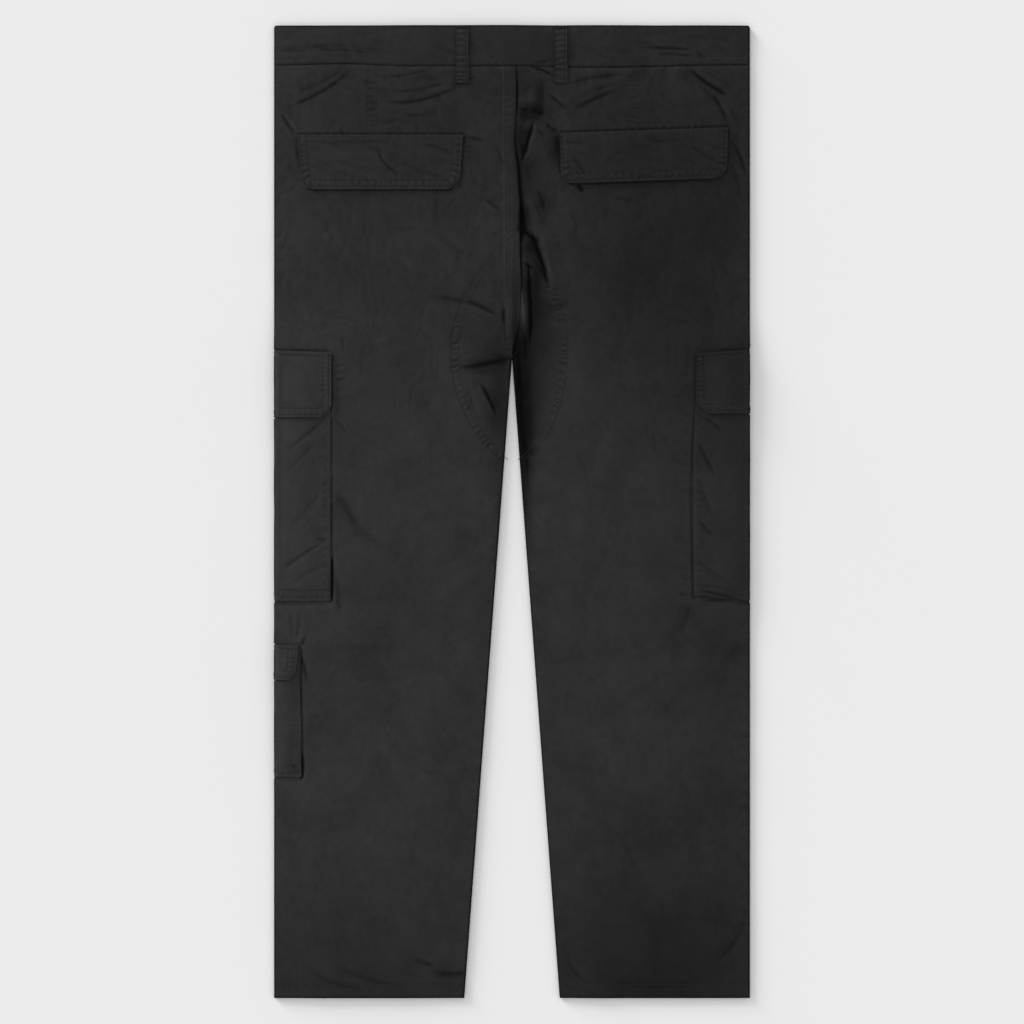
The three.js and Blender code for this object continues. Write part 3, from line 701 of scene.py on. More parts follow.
# Where sewing puckers the backs: (line, pitch, height, reach, slant)
PANEL_SEAMS = [
    (((-HALF, WAIST_SEAM), (HALF, WAIST_SEAM)), 7.5, 0.16, 7.0, 0.3),
    (((-HALF, WAIST_SEAM), (HALF, WAIST_SEAM)), 31.0, 0.30, 26.0, -0.5),
    (SEAT_LINE - (6, 0), 7.0, 0.12, 7.0, 0.5),
    (SEAT_LINE - (20, 0), 26.0, 0.16, 13.0, 0.5),
    (gusset_line(-1, -5.5), 6.8, 0.26, 4.6, 0.2),
    (gusset_line(1, -5), 6.8, 0.28, 4.6, -0.2),
    (gusset_line(-1, -5), 23.0, 0.18, 15.0, 0.2),
    (gusset_line(1, -5), 23.0, 0.18, 15.0, -0.2),
    (((-152, 477), (-152, 408)), 6.3, 0.18, 6.0, 0.0),
    (((129, 472), (129, 415)), 6.3, 0.18, 6.0, 0.0),
    (((-232, 409), (-53, 409)), 7.0, 0.16, 5.0, 0.2),
    (((51, 411), (233, 417)), 7.0, 0.22, 6.0, 0.2),
    (((-47, 404), (-44, 362)), 6.8, 0.12, 5.0, 0.0),
    (((-HALF, HEM + 8), (-51, HEM + 8)), 9.0, 0.10, 8.0, 0.9),
    (((51, HEM + 8), (HALF, HEM + 8)), 9.0, 0.10, 8.0, 0.9),
    (((-HALF + 5, WAIST_SEAM), (-HALF + 5, HEM)), 19.0, 0.14, 7.0, 0.3),
    (((HALF - 5, WAIST_SEAM), (HALF - 5, HEM)), 19.0, 0.14, 7.0, -0.3),
    (((-188, 168), (-188, 56)), 11.5, 0.18, 9.0, 0.1),
    (((188, 168), (190, -92)), 11.5, 0.08, 8.0, -0.2),
    (((-4, CROTCH), (-54, HEM)), 17.0, 0.08, 7.0, 0.3),
    (((4, CROTCH), (54, HEM)), 17.0, 0.08, 7.0, -0.3),
]

# Grooves that a sewn edge draws into the cloth under it: (line, depth, half width)
GROOVES = [
    (((-232, 408.0), (-53, 408.0)), 0.5, 1.2),
    (((51, 409.8), (233, 416.0)), 0.6, 1.3),
    (((-224, 347.6), (-68, 347.6), (-55.8, 359), (-52.4, 404)), 0.6, 1.2),
    (((-234, 404), (-228, 358)), 0.4, 1.2),
    (((60, 353.4), (216, 358.6), (231.2, 369.4), (232.8, 412)), 0.6, 1.2),
    (((50.4, 404), (51.5, 366)), 0.6, 1.3),
    (((-194.6, 171), (-194.4, 116), (-197, 104)), 1.0, 1.3),
    (((-194.8, 104), (-195.0, -50)), 0.5, 1.1),
    (((-195.0, -50), (-195.2, -94)), 1.8, 1.8),
    (((197.8, 168), (197.8, 104)), 0.5, 1.2),
    (((197.4, 104), (194.0, 60), (193.2, 20), (194.2, -30), (195.2, -92)), 0.6, 1.2),
    (((-196, -97.8), (-HALF, -98)), 0.3, 1.2),
    (((194, -91), (220, -96), (HALF, -98)), 0.6, 1.3),
    (((-227.4, -146), (-226.9, -262)), 0.7, 1.2),
    (((-226.9, -262), (-226.6, -286)), 1.6, 1.8),
    (((-228.0, -288), (-HALF, -287)), 0.3, 1.2),
    (((-196, 173.2), (-HALF, 174.8)), 0.5, 1.2),
    (((197, 171.6), (HALF, 175.8)), 0.5, 1.2),
]

# The waist seam wanders a few millimetres off a straight line: (x, distance up), eased out over both pieces
WAIST_WANDER = np.array([
    [-257, 1.6], [-180, 2.9], [-110, 0.4], [10, 0.2], [95, -1.4], [193, 0.8], [257, 1.8],
])


def waist_shift(x, y):
    index = np.clip(np.searchsorted(WAIST_WANDER[:, 0], x), 1, len(WAIST_WANDER) - 1)
    before, after = WAIST_WANDER[index - 1], WAIST_WANDER[index]
    wander = before[..., 1] + (after[..., 1] - before[..., 1]) * step(x, before[..., 0], after[..., 0])
    return wander * bell((y - WAIST_SEAM) / (WAIST - WAIST_SEAM))


# Height of the back above the middle of the tube without its fine relief, which what lies on it follows.
def back_form(x, y):
    distance = nearest_edge(x, y)[0]
    height = LAY + LOFT * step(distance, 0, LOFT_REACH)
    for (x0, y0), (x1, y1), rise, width in FOLDS:
        dx, dy = x1 - x0, y1 - y0
        along = np.clip(((x - x0) * dx + (y - y0) * dy) / (dx * dx + dy * dy), 0, 1)
        height = height + rise * bell(np.hypot(x - x0 - along * dx, y - y0 - along * dy) / width)
    height = height + 0.45 * noise(x / 70 + 9, y / 130, 1) * step(distance, 2, 40)
    return height - LAY / 2 + lift(x, y, SOFT_FADE) - lift(x, y)


# Where something lies on the back, the cloth under it is smooth: (low corner, high corner)
COVERED = [
    ((-230, 350), (-54, 405)),
    ((54, 358), (228, 406)),
    ((-2 * HALF, -94), (-198, 172)),
    ((198, -94), (2 * HALF, 173)),
    ((-2 * HALF, -284), (-231, -145)),
]


def bare(x, y):
    hidden = np.zeros(x.shape)
    for (x0, y0), (x1, y1) in COVERED:
        inside = step(x, x0 - 2, x0 + 2) * (1 - step(x, x1 - 2, x1 + 2))
        hidden = np.maximum(hidden, inside * step(y, y0 - 2, y0 + 2) * (1 - step(y, y1 - 2, y1 + 2)))
    return 1 - hidden


def grooved(x, y):
    total = np.zeros(x.shape)
    for line, depth, width in GROOVES:
        signed, length, _ = along_line(x, y, line)
        total -= depth * np.exp(-((signed / width) ** 2)) * np.exp(-(np.maximum(0, 4 - length) / 3) ** 2)
    return total


def back_relief(x, y):
    u, v = x + 10 * noise(x / 34, y / 40, 60), y + 14 * noise(x / 30, y / 37, 61)
    crumple = 0.12 * noise(u / 13, v / 19, 2) + 0.08 * noise(u / 5.5, v / 8, 3)
    drape = 0.24 * noise((u + 0.4 * v) / 31, v / 70, 4) + 0.20 * noise((u - 0.7 * v) / 33, (u + v) / 75, 7)
    busy = 0.8 + 0.9 * step(y, 20, 220)
    drawn = 0.34 * noise((u + 0.3 * v) / 44, (v - 0.28 * np.abs(u)) / 8.5, 62) * step(y, 396, 430)
    relief = creased(x, y, PANEL_CREASES) + puckered(x, y, PANEL_SEAMS, 40) + crumple * busy + drape + drawn
    seam = seat_seam(y)
    from_left = x - LAP_FOLLOWS * seam - LAP_LEFT
    lap = (y > CROTCH) & (x < seam)
    fade = step(y, CROTCH, CROTCH + 20)
    raised = LAP_HEIGHT * fade * step(from_left, -LAP_SHOULDER, 0)
    for row in SEAT_ROWS:
        raised = raised - 0.13 * fade * np.exp(-(((x - LAP_FOLLOWS * seam - row) / 0.9) ** 2))
    hem = -0.10 * np.exp(-(((y - HEM - HEM_ROW) / 1.8) ** 2)) - 0.9 * np.exp(-(y - HEM) / 1.2)
    waist = -0.9 * np.exp(-np.maximum(WAIST_SEAM - y, 0) / 1.3)
    return (relief + grooved(x, y)) * bare(x, y) + np.where(lap, raised, 0.0) + hem + waist


# Steep folds keep at least the thickness of the cloth over the front panel, and flatten out above it.
FLATTENED = 0.8


def back_rise(x, y):
    rise = back_form(x, y) + back_relief(x, y) + creased(x, y, SEAT_CREASES) + seam_valley(x, y)
    least = -LAY / 2 + 2 * CLOTH + LEAST_GAP
    above = rise - least
    low_fold = FLATTENED * np.exp(np.minimum(above - FLATTENED, 0) / FLATTENED)
    return least + np.where(above > FLATTENED, above, low_fold)


# Rows from the waist down to the hem, and columns that are close beside the seat seam and even further out.
BACK_ROWS = np.concatenate([
    np.linspace(WAIST_SEAM - SEAM / 2, GUSSET_TOP + 1.3, 122),
    np.linspace(GUSSET_TOP, GUSSET_BOTTOM, 150),
    np.linspace(GUSSET_BOTTOM - 3, HEM + 52, 160),
    np.linspace(HEM + 50, HEM, 24),
])
BESIDE_SEAM = {-1: np.arange(3.2, 19, 0.9), 1: np.arange(3.2, 46, 0.85)}
MIDDLE_COLUMNS = {-1: 112, 1: 94}


def back_points(side, out):
    y = BACK_ROWS
    has_gusset = (y <= GUSSET_TOP + 0.01) & (y >= GUSSET_BOTTOM - 0.01)
    inner = np.where(has_gusset, gusset_seam(side, y) + side * GUSSET_SEAM / 2, back_inner(side, y))
    outer = side * outseam(side, y)
    near, far = [*ROUND, *BESIDE_SEAM[side]], [*ROUND, *np.arange(4.2, 16, 1.7)]
    distances = column_distances(np.abs(outer - inner), near, far, MIDDLE_COLUMNS[side])
    x = inner[:, None] + side * distances
    rows = np.broadcast_to(y[:, None], x.shape)
    rows = rows + waist_shift(x, rows)
    open_seam = (rows > GUSSET_TOP) * 0.5 + (rows > GUSSET_BOTTOM) * (rows <= GUSSET_TOP) * 0.10
    dip = np.exp(-distances / 0.9) * open_seam
    return tube_point(x, rows, 1, back_rise(x, rows - waist_shift(x, rows)), out - dip)


def back_surface(x, y):
    x, y = np.asarray(x, float), np.asarray(y, float)
    return tube_point(x, y, 1, back_rise(x, y), 0)


for side, name in ((-1, "left"), (1, "right")):
    outer, inner = back_points(side, 0), back_points(side, -CLOTH)
    panel = cloth_object(f"back_{name}_cloth", outer, inner, panel_twill, 1, back_sunken)
    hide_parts(f"back_{name}")


# Stitching: black polyester thread in a lockstitch, about eight stitches to the inch, sunk into the twill.
# A row of stitches follows a line on the surface of the piece that it is sewn through.
THREAD_TONE = (0.0180, 0.0180, 0.0184)
STITCH, STITCH_GAP = 2.7, 0.6


def thread_material():
    material = bpy.data.materials.new("black_thread")
    material.use_nodes = True
    nodes, links = material.node_tree.nodes, material.node_tree.links
    shader = nodes["Principled BSDF"]
    shader.inputs["Roughness"].default_value = 0.6
    shader.inputs["Specular IOR Level"].default_value = 0.12
    place = nodes.new("ShaderNodeTexCoord")
    grain = nodes.new("ShaderNodeTexNoise")
    grain.inputs["Scale"].default_value = 900.0
    links.new(place.outputs["Object"], grain.inputs["Vector"])
    ramp = nodes.new("ShaderNodeValToRGB")
    for element, share in zip(ramp.color_ramp.elements, (0.8, 1.35)):
        element.color = (*[channel * share for channel in THREAD_TONE], 1)
    links.new(grain.outputs["Fac"], ramp.inputs["Fac"])
    links.new(ramp.outputs["Color"], shader.inputs["Base Color"])
    bump = nodes.new("ShaderNodeBump")
    bump.inputs["Distance"].default_value = 0.1 * MM
    links.new(grain.outputs["Fac"], bump.inputs["Height"])
    links.new(bump.outputs["Normal"], shader.inputs["Normal"])
    return material


black_thread = thread_material()


# First and last point of each stitch along a line.
def evenly_along(line, pitch):
    line = np.asarray(line, float)
    sizes = np.hypot(*np.diff(line, axis=0).T)
    reached = np.concatenate([[0], np.cumsum(sizes)])
    at = np.arange(0, reached[-1] - pitch * 0.6, pitch)
    ends = (at, at + STITCH)
    return [np.stack([np.interp(end, reached, line[:, i]) for i in (0, 1)], axis=1) for end in ends]


# Short thick grains of thread between pairs of points, all in one object.
def stitches_object(name, rows, width=0.62, height=0.34):
    starts, ends = [], []
    for line, surface in rows:
        for points, into in zip(evenly_along(line, STITCH + STITCH_GAP), (starts, ends)):
            into.append(surface(points[:, 0], points[:, 1]))
    starts, ends = np.concatenate(starts), np.concatenate(ends)
    way = ends - starts
    way = way / np.maximum(np.linalg.norm(way, axis=1, keepdims=True), 1e-6)
    up = np.array([0, 0, 1.0])
    across = np.cross(up, way)
    across = across / np.maximum(np.linalg.norm(across, axis=1, keepdims=True), 1e-6)
    ring = [(-0.5, 0.0), (-0.3, 0.8), (0.3, 0.8), (0.5, 0.0), (0.0, -0.7)]
    grains = []
    for share, size in ((0.0, 0.35), (0.22, 1.0), (0.78, 1.0), (1.0, 0.35)):
        middle = starts + (ends - starts) * share
        for side_step, up_step in ring:
            sunk = up_step * size - 0.35 * (1 - size)
            grains.append(middle + across * side_step * size * width + up * sunk * height)
    grains = np.stack(grains, axis=1)
    count, each, sides = len(grains), grains.shape[1], len(ring)
    faces = []
    for level in range(3):
        for i in range(sides):
            j = (i + 1) % sides
            a, b = level * sides, (level + 1) * sides
            faces.append((a + i, a + j, b + j, b + i))
    quads = (np.array(faces)[None] + (np.arange(count) * each)[:, None, None]).reshape(-1, 4)
    caps = np.array([tuple(range(sides))[::-1], tuple(range(3 * sides, 4 * sides))])
    ends_of = (caps[None] + (np.arange(count) * each)[:, None, None]).reshape(-1, sides)
    mesh = bpy.data.meshes.new(name)
    mesh.from_pydata((grains.reshape(-1, 3) * MM).tolist(), [], quads.tolist() + ends_of.tolist())
    mesh.shade_smooth()
    mesh.materials.append(black_thread)
    piece = bpy.data.objects.new(name, mesh)
    bpy.context.collection.objects.link(piece)
    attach(piece, "root")
    return piece


def straight(x0, y0, x1, y1, points=40):
    t = np.linspace(0, 1, points)
    return np.stack([x0 + (x1 - x0) * t, y0 + (y1 - y0) * t], axis=1)


seat_rows = [(SEAT_LINE[1:-1] * (LAP_FOLLOWS, 1) + (row, 0), back_surface) for row in SEAT_ROWS]
gusset_rows = [(gusset_line(side, shift)[2:-1], back_surface) for side in (-1, 1) for shift in (-1.6, -8.6)]
dart_rows = [(straight(*start, *end), back_surface) for start, end in DARTS]
hem_rows = []
for side in (-1, 1):
    hem_line = straight(side * (HALF - 3), HEM + HEM_ROW, side * 53.5, HEM + HEM_ROW, 100)
    hem_rows.append((hem_line, back_surface))
stitches_object("panel_stitching", seat_rows + gusset_rows + dart_rows + hem_rows)


# Gussets: two half-moons of the twill let into the backs at the crotch. Their curved edge is sewn under the
# panel with two rows of stitching, and their straight edges meet at the seat seam and at the inseam.
def gusset_points(side, out):
    y = BACK_ROWS[(BACK_ROWS <= GUSSET_TOP + 0.01) & (BACK_ROWS >= GUSSET_BOTTOM - 0.01)]
    y = np.concatenate([[GUSSET_TOP + 1.2], y, [GUSSET_BOTTOM - 2.8]])
    inner, outer = back_inner(side, y), gusset_seam(side, y) - side * GUSSET_SEAM / 2
    outer[0], outer[-1] = inner[0] + 0.1 * side, inner[-1] + 0.1 * side
    shares = np.concatenate([np.linspace(0, 0.1, 8), np.linspace(0.12, 1, 52)])
    x = inner[:, None] + (outer - inner)[:, None] * shares
    rows = np.broadcast_to(y[:, None], x.shape)
    sunk = 0.16 * np.exp(-np.abs(x - outer[:, None]) / 1.6)
    return tube_point(x, rows, 1, back_rise(x, rows), out - sunk)


for side, name in ((-1, "left"), (1, "right")):
    outer, inner = gusset_points(side, 0), gusset_points(side, -CLOTH)
    gusset = cloth_object(f"gusset_{name}_cloth", outer, inner, panel_twill, 1, back_sunken)
    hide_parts(f"gusset_{name}")


# Waistband: a strip of twill over interlining, turned along its top edge and sewn down along the waist seam.
# The back is one piece; at the front its two ends meet over the fly.
BAND_CLOTH = 1.6
BAND_CREASES = [
    ((-214, 502), (-190, 503), (-168, 501), -0.3, 3, 0.2),
    ((-216, 497), (-180, 496), (-138, 493), -0.6, 3.6, 0.4),
    ((-250, 499), (-190, 501), (-120, 494), -0.4, 5, 0.3),
    ((-252, 497), (-236, 496), (-218, 496), -0.3, 3, 0.3),
    ((138, 501), (170, 500), (204, 497), -0.85, 3.4, 0.4),
    ((150, 494), (178, 493), (206, 490), -0.6, 3, 0.3),
    ((194, 497), (206, 491), (213, 482), -0.5, 3, 0.3),
    ((16, 482), (31, 485), (44, 488), -0.5, 4, 0.3),
    ((-96, 506), (-70, 498), (-40, 484), -0.25, 5, 0.3),
    ((60, 506), (86, 498), (112, 486), -0.25, 5, 0.3),
]
BAND_SEAMS = [
    (((-HALF, WAIST_SEAM + 2), (HALF, WAIST_SEAM + 2)), 7.0, 0.14, 6.0, 0.4),
    (((-HALF, WAIST_SEAM + 12), (HALF, WAIST_SEAM + 12)), 24.0, 0.22, 14.0, 0.5),
    (((-HALF, WAIST - 3), (HALF, WAIST - 3)), 8.0, 0.10, 5.0, -0.4),
]
BAND_ROWS = np.linspace(WAIST_SEAM + SEAM / 2, WAIST, 34)
BAND_CORNER = 3.0


def band_sunken(x, y):
    return creased(x, y, BAND_CREASES)


def band_rise(x, y, face):
    if face < 0:
        return np.full(x.shape, LAY / 2)
    relief = band_sunken(x, y) + puckered(x, y, BAND_SEAMS, 70)
    relief += 0.18 * noise(x / 11, y / 8, 8) + 0.08 * noise(x / 5, y / 5, 9)
    relief += 0.25 * noise(x / 32, y / 30, 10) + 0.26 * noise(x / 40, y / 6, 11) * step(np.abs(x), 60, 150)
    edge = np.minimum(y - WAIST_SEAM, WAIST - y)
    return back_form(x, y) + relief - 0.9 * np.exp(-np.maximum(edge, 0) / 1.2)


# The top corners are turned in a small round.
def band_points(face, start, end, out, count):
    x = np.linspace(start, end, count)
    for tip, way in ((start, 1), (end, -1)):
        if abs(abs(tip) - HALF) < 1:
            x = np.concatenate([x[np.abs(x - tip) > EDGE + 0.5], tip + way * ROUND])
    x = np.sort(x)
    x, y = np.meshgrid(x, BAND_ROWS)
    rise = band_rise(x, y, face)
    into = np.clip((np.abs(x) - HALF + BAND_CORNER) / BAND_CORNER, 0, 1)
    drop = BAND_CORNER * (1 - np.sqrt(1 - into**2)) * step(y, WAIST_SEAM, WAIST)
    return tube_point(x, y + waist_shift(x, y) - drop, face, rise, out)


def band_surface(x, y):
    x, y = np.asarray(x, float), np.asarray(y, float)
    return tube_point(x, y + waist_shift(x, y), 1, band_rise(x, y, 1), 0)


band_twill = twill("band_twill", TWILL_TONE, rib_angle=27.0)
for node, face, start, end, count in (
    ("waistband_back", 1, -HALF, HALF, 360),
    ("waistband_front_left", -1, -HALF, -SEAM / 2, 70),
    ("waistband_front_right", -1, SEAM / 2, HALF, 70),
):
    outer, inner = (band_points(face, start, end, out, count) for out in (0, -BAND_CLOTH))
    band = cloth_object(f"{node}_cloth", outer, inner, band_twill, face, band_sunken)
    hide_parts(node)

stitches_object("band_stitching", [
    (straight(-HALF + 3, WAIST_SEAM + 2.2, HALF - 3, WAIST_SEAM + 2.2, 200), band_surface),
    (straight(-HALF + 3, WAIST - 2.6, HALF - 3, WAIST - 2.6, 200), band_surface),
])


# Flaps of the back pockets: two layers of twill bagged out, pressed and edge-stitched twice. Each is sewn on
# along its top edge, and its free edge stands a little off the seat, over a button that doesn't show.
FLAP_LIFT = 0.5
flap_twill = twill("flap_twill", (0.0246, 0.0246, 0.0250))
BACK_FLAPS = {
    "left": {
        "corner": (-232, 407), "width": 179, "height": 59, "tilt": 0.0, "slants": (6, 4), "cuts": (11, 12),
        "rounds": (0.2, 0.2),
        "creases": [
            ((-143, 397), (-139, 378), (-118, 362), -0.55, 4, 0.3),
            ((-151, 386), (-142, 374), (-133, 368), 0.5, 8, 0),
            ((-120, 378), (-96, 366), (-66, 362), -0.3, 6, 0.3),
            ((-100, 396), (-80, 393), (-58, 380), -0.4, 4, 0.2),
            ((-226, 401), (-180, 398), (-120, 401), -0.3, 6, 0.3),
            ((-214, 384), (-196, 372), (-170, 362), -0.25, 6, 0.3),
        ],
    },
    "right": {
        "corner": (51, 409), "width": 182, "height": 55, "tilt": 1.9, "slants": (1, 3), "cuts": (9, 15),
        "rounds": (0.4, 1.0),
        "creases": [
            ((61, 390), (72, 374), (82, 358), -0.4, 6, 0.3),
            ((54, 400), (68, 398), (84, 399), -0.35, 4, 0.2),
            ((126, 371), (139, 366), (152, 370), 0.5, 8, 0),
            ((94, 370), (112, 386), (126, 398), -0.3, 6, 0.3),
            ((138, 404), (165, 400), (192, 405), -0.3, 6, 0.3),
            ((193, 398), (205, 386), (224, 377), -0.4, 5, 0.3),
        ],
    },
}
FLAP_ROWS_FROM_EDGE = (2.2, 9.6)
PUCKER_PITCH = 6.6


# Puckers across the band between two rows of stitching, from the place along it and the distance to its edge.
def band_puckers(along, edge, height, seed):
    stray = noise(along / 17, edge / 9, seed)
    strength = 0.6 + 0.7 * noise(along / 21 + 5, edge / 12, seed + 1)
    wave = np.sin(2 * np.pi * (along / PUCKER_PITCH + 0.03 * edge + 0.8 * stray))
    return height * strength * wave * np.exp(-(((edge - 6) / 4.6) ** 2))


def flap_frame(flap):
    angle = math.radians(flap["tilt"])
    along = np.array([math.cos(angle), math.sin(angle)])
    return np.array(flap["corner"], float), along, np.array([along[1], -along[0]])


# Left and right end of a flap at a depth below its top edge, drawn in from its outline by a margin.
def flap_sides(flap, depth, margin=0.0):
    height, width = flap["height"], flap["width"]
    ends = []
    for slant, cut, roundness in zip(flap["slants"], flap["cuts"], flap["rounds"]):
        cut = cut - 0.41 * margin
        t = np.clip((depth - height + margin + cut) / cut, 0, 1)
        into = cut * ((1 - roundness) * t + roundness * (1 - np.sqrt(1 - t * t)))
        ends.append(slant * depth / height + margin + into)
    return ends[0], width - ends[1]


def flap_surface(flap, x, y, out=0.0):
    x, y = np.asarray(x, float), np.asarray(y, float)
    corner, along, down = flap_frame(flap)
    u = (x - corner[0]) * along[0] + (y - corner[1]) * along[1]
    v = (x - corner[0]) * down[0] + (y - corner[1]) * down[1]
    left, right = flap_sides(flap, v)
    edge = np.minimum(np.minimum(u - left, right - u), flap["height"] - v)
    puff = REST + FLAP_LIFT * np.clip(v / flap["height"], 0, 1) ** 2
    band = 0.25 * np.exp(-(((edge - 6) / 3.2) ** 2)) + 0.35 * np.exp(-(((edge - 1.0) / 1.0) ** 2))
    for row in FLAP_ROWS_FROM_EDGE:
        band = band - 0.2 * np.exp(-(((edge - row) / 0.9) ** 2))
    side_edge = np.minimum(u - left, right - u)
    below = flap["height"] - v
    ripple = np.where(side_edge < below, band_puckers(v, edge, 0.46, 90), band_puckers(u, edge, 0.24, 93))
    ripple = ripple + 0.2 * np.sin(2 * np.pi * u / 9 + 5 * noise(u / 30, v * 0, 96)) * np.exp(-v / 4)
    broad = 0.40 * noise(x / 34, y / 22, 91) + 0.30 * noise((x + y) / 15, y / 8, 92)
    broad = broad + 0.10 * noise(x / 5, y / 6, 98)
    top = -0.9 * np.exp(-np.maximum(v, 0) / 1.3)
    rise = back_form(x, y) + creased(x, y, flap["creases"], 1.2) + band + ripple + broad + top
    return tube_point(x, y, 1, rise, FLAP_CLOTH + REST + puff + out)


def flap_points(flap, out):
    corner, along, down = flap_frame(flap)
    height = flap["height"]
    lower = [height - 14, height - 0.6]
    v = np.concatenate([[0, 0.6], np.linspace(1.4, lower[0] - 1.2, 32), np.linspace(*lower, 15), [height]])
    left, right = flap_sides(flap, v)
    ends = np.array([0, 0.6, 1.4, *np.arange(2.4, 12, 1.0)]) / flap["width"]
    shares = np.concatenate([ends, np.linspace(ends[-1], 1 - ends[-1], 92)[1:-1], 1 - ends[::-1]])
    u = left[:, None] + (right - left)[:, None] * shares
    x = corner[0] + u * along[0] + v[:, None] * down[0]
    y = corner[1] + u * along[1] + v[:, None] * down[1]
    return flap_surface(flap, x, y, out)


def flap_path(flap, margin):
    corner, along, down = flap_frame(flap)
    height = flap["height"]
    v = np.concatenate([np.linspace(2, height - 14, 12), np.linspace(height - 13, height - margin, 10)])
    left, right = flap_sides(flap, v, margin)
    u = np.concatenate([left, right[::-1]])
    v = np.concatenate([v, v[::-1]])
    return corner + u[:, None] * along + v[:, None] * down


for name, flap in BACK_FLAPS.items():
    outer, inner = flap_points(flap, 0), flap_points(flap, -FLAP_CLOTH)

    def flap_sunken(x, y, flap=flap):
        return creased(x, y, flap["creases"])

    piece = cloth_object(f"back_flap_{name}_cloth", outer, inner, flap_twill, 1, flap_sunken)
    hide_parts(f"back_flap_{name}")

    def on_flap(x, y, flap=flap):
        return flap_surface(flap, x, y)

    corner, along, down = flap_frame(flap)
    top = [corner + along * u + down * 2.0 for u in np.linspace(2, flap["width"] - 2, 40)]
    rows = [(flap_path(flap, margin), on_flap) for margin in FLAP_ROWS_FROM_EDGE]
    stitches_object(f"back_flap_{name}_stitching", rows + [(top, on_flap)])


# Belt loops: strips of twill folded in three and stitched along both edges, bar-tacked over the waistband at
# the top and just below the waist seam. Two show on the back, and two lie under the front.
LOOP_CLOTH = 1.3


def loop_points(low, high, face, out):
    across = np.linspace(-1, 1, 19)
    y = np.linspace(low[1], high[1], 62)
    x, rows = np.meshgrid(across * (high[0] - low[0]) / 2, y)
    share = (rows - low[1]) / (high[1] - low[1])
    wider = 1 + 0.13 * np.exp(-((share / 0.05) ** 2)) - 0.05 * bell((share - 0.6) / 0.4)
    x = (low[0] + high[0]) / 2 + x * wider
    if face < 0:
        return tube_point(x, rows, -1, np.full(x.shape, LAY / 2), LOOP_CLOTH + REST + out)
    ends = 0.6 * np.exp(-share / 0.03) + 0.5 * np.exp(-(1 - share) / 0.03)
    arch = 1.1 * bell((share - 0.58) / 0.42) - ends
    for bar in (0.05, 0.95):
        arch = arch - 0.35 * np.exp(-(((share - bar) / 0.02) ** 2))
    crown = 0.3 * (1 - across**2) - 0.3 * np.exp(-(((np.abs(across) - 0.7) / 0.13) ** 2))
    wave = np.sin(2 * np.pi * (rows / 6.2 + 0.5 * noise(rows / 14, x / 14, 95)))
    ripple = 0.30 * wave * (1 - 0.7 * across**2) + 0.12 * noise(rows / 4, x / 4, 97)
    return tube_point(x, rows, 1, back_form(x, rows) + arch + crown + ripple, LOOP_CLOTH + REST + out)


def on_loop(low, high):
    grid = loop_points(low, high, 1, 0.0)
    xs, ys = grid[30, :, 0], grid[:, 0, 1]

    def surface(x, y):
        column = np.clip(np.searchsorted(xs, x), 0, len(xs) - 1)
        row = np.clip(np.searchsorted(ys, y), 0, len(ys) - 1)
        return np.stack([x, y, grid[row, column, 2]], axis=-1)

    return surface


loop_rows = []
for node, face in (
    ("belt_loop_back_left", 1), ("belt_loop_back_right", 1),
    ("belt_loop_front_left", -1), ("belt_loop_front_right", -1),
):
    low, high = node_box(node)
    outer, inner = loop_points(low, high, face, 0), loop_points(low, high, face, -LOOP_CLOTH)
    loop = cloth_object(f"{node}_cloth", outer, inner, band_twill)
    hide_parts(node)
    if face > 0:
        surface = on_loop(low, high)
        for inset in (2.0, 12.0):
            loop_rows.append((straight(low[0] + inset, low[1] + 2, low[0] + inset, high[1] - 2), surface))
        for y in (low[1] + 1.5, low[1] + 2.4, low[1] + 3.3, high[1] - 2.0, high[1] - 2.9):
            loop_rows.append((straight(low[0] + 1.5, y, high[0] - 1.5, y + 0.4), surface))
stitches_object("belt_loop_stitching", loop_rows)


# Patch pockets: bellows pockets of the same twill that wrap the outseam, so that the smaller part of each
# is seen here and the rest lies under the leg. The free inner edge stands off the leg, and the bottom is
# sewn down with two rows. A flap of doubled twill, cut off at its corner, covers the mouth.

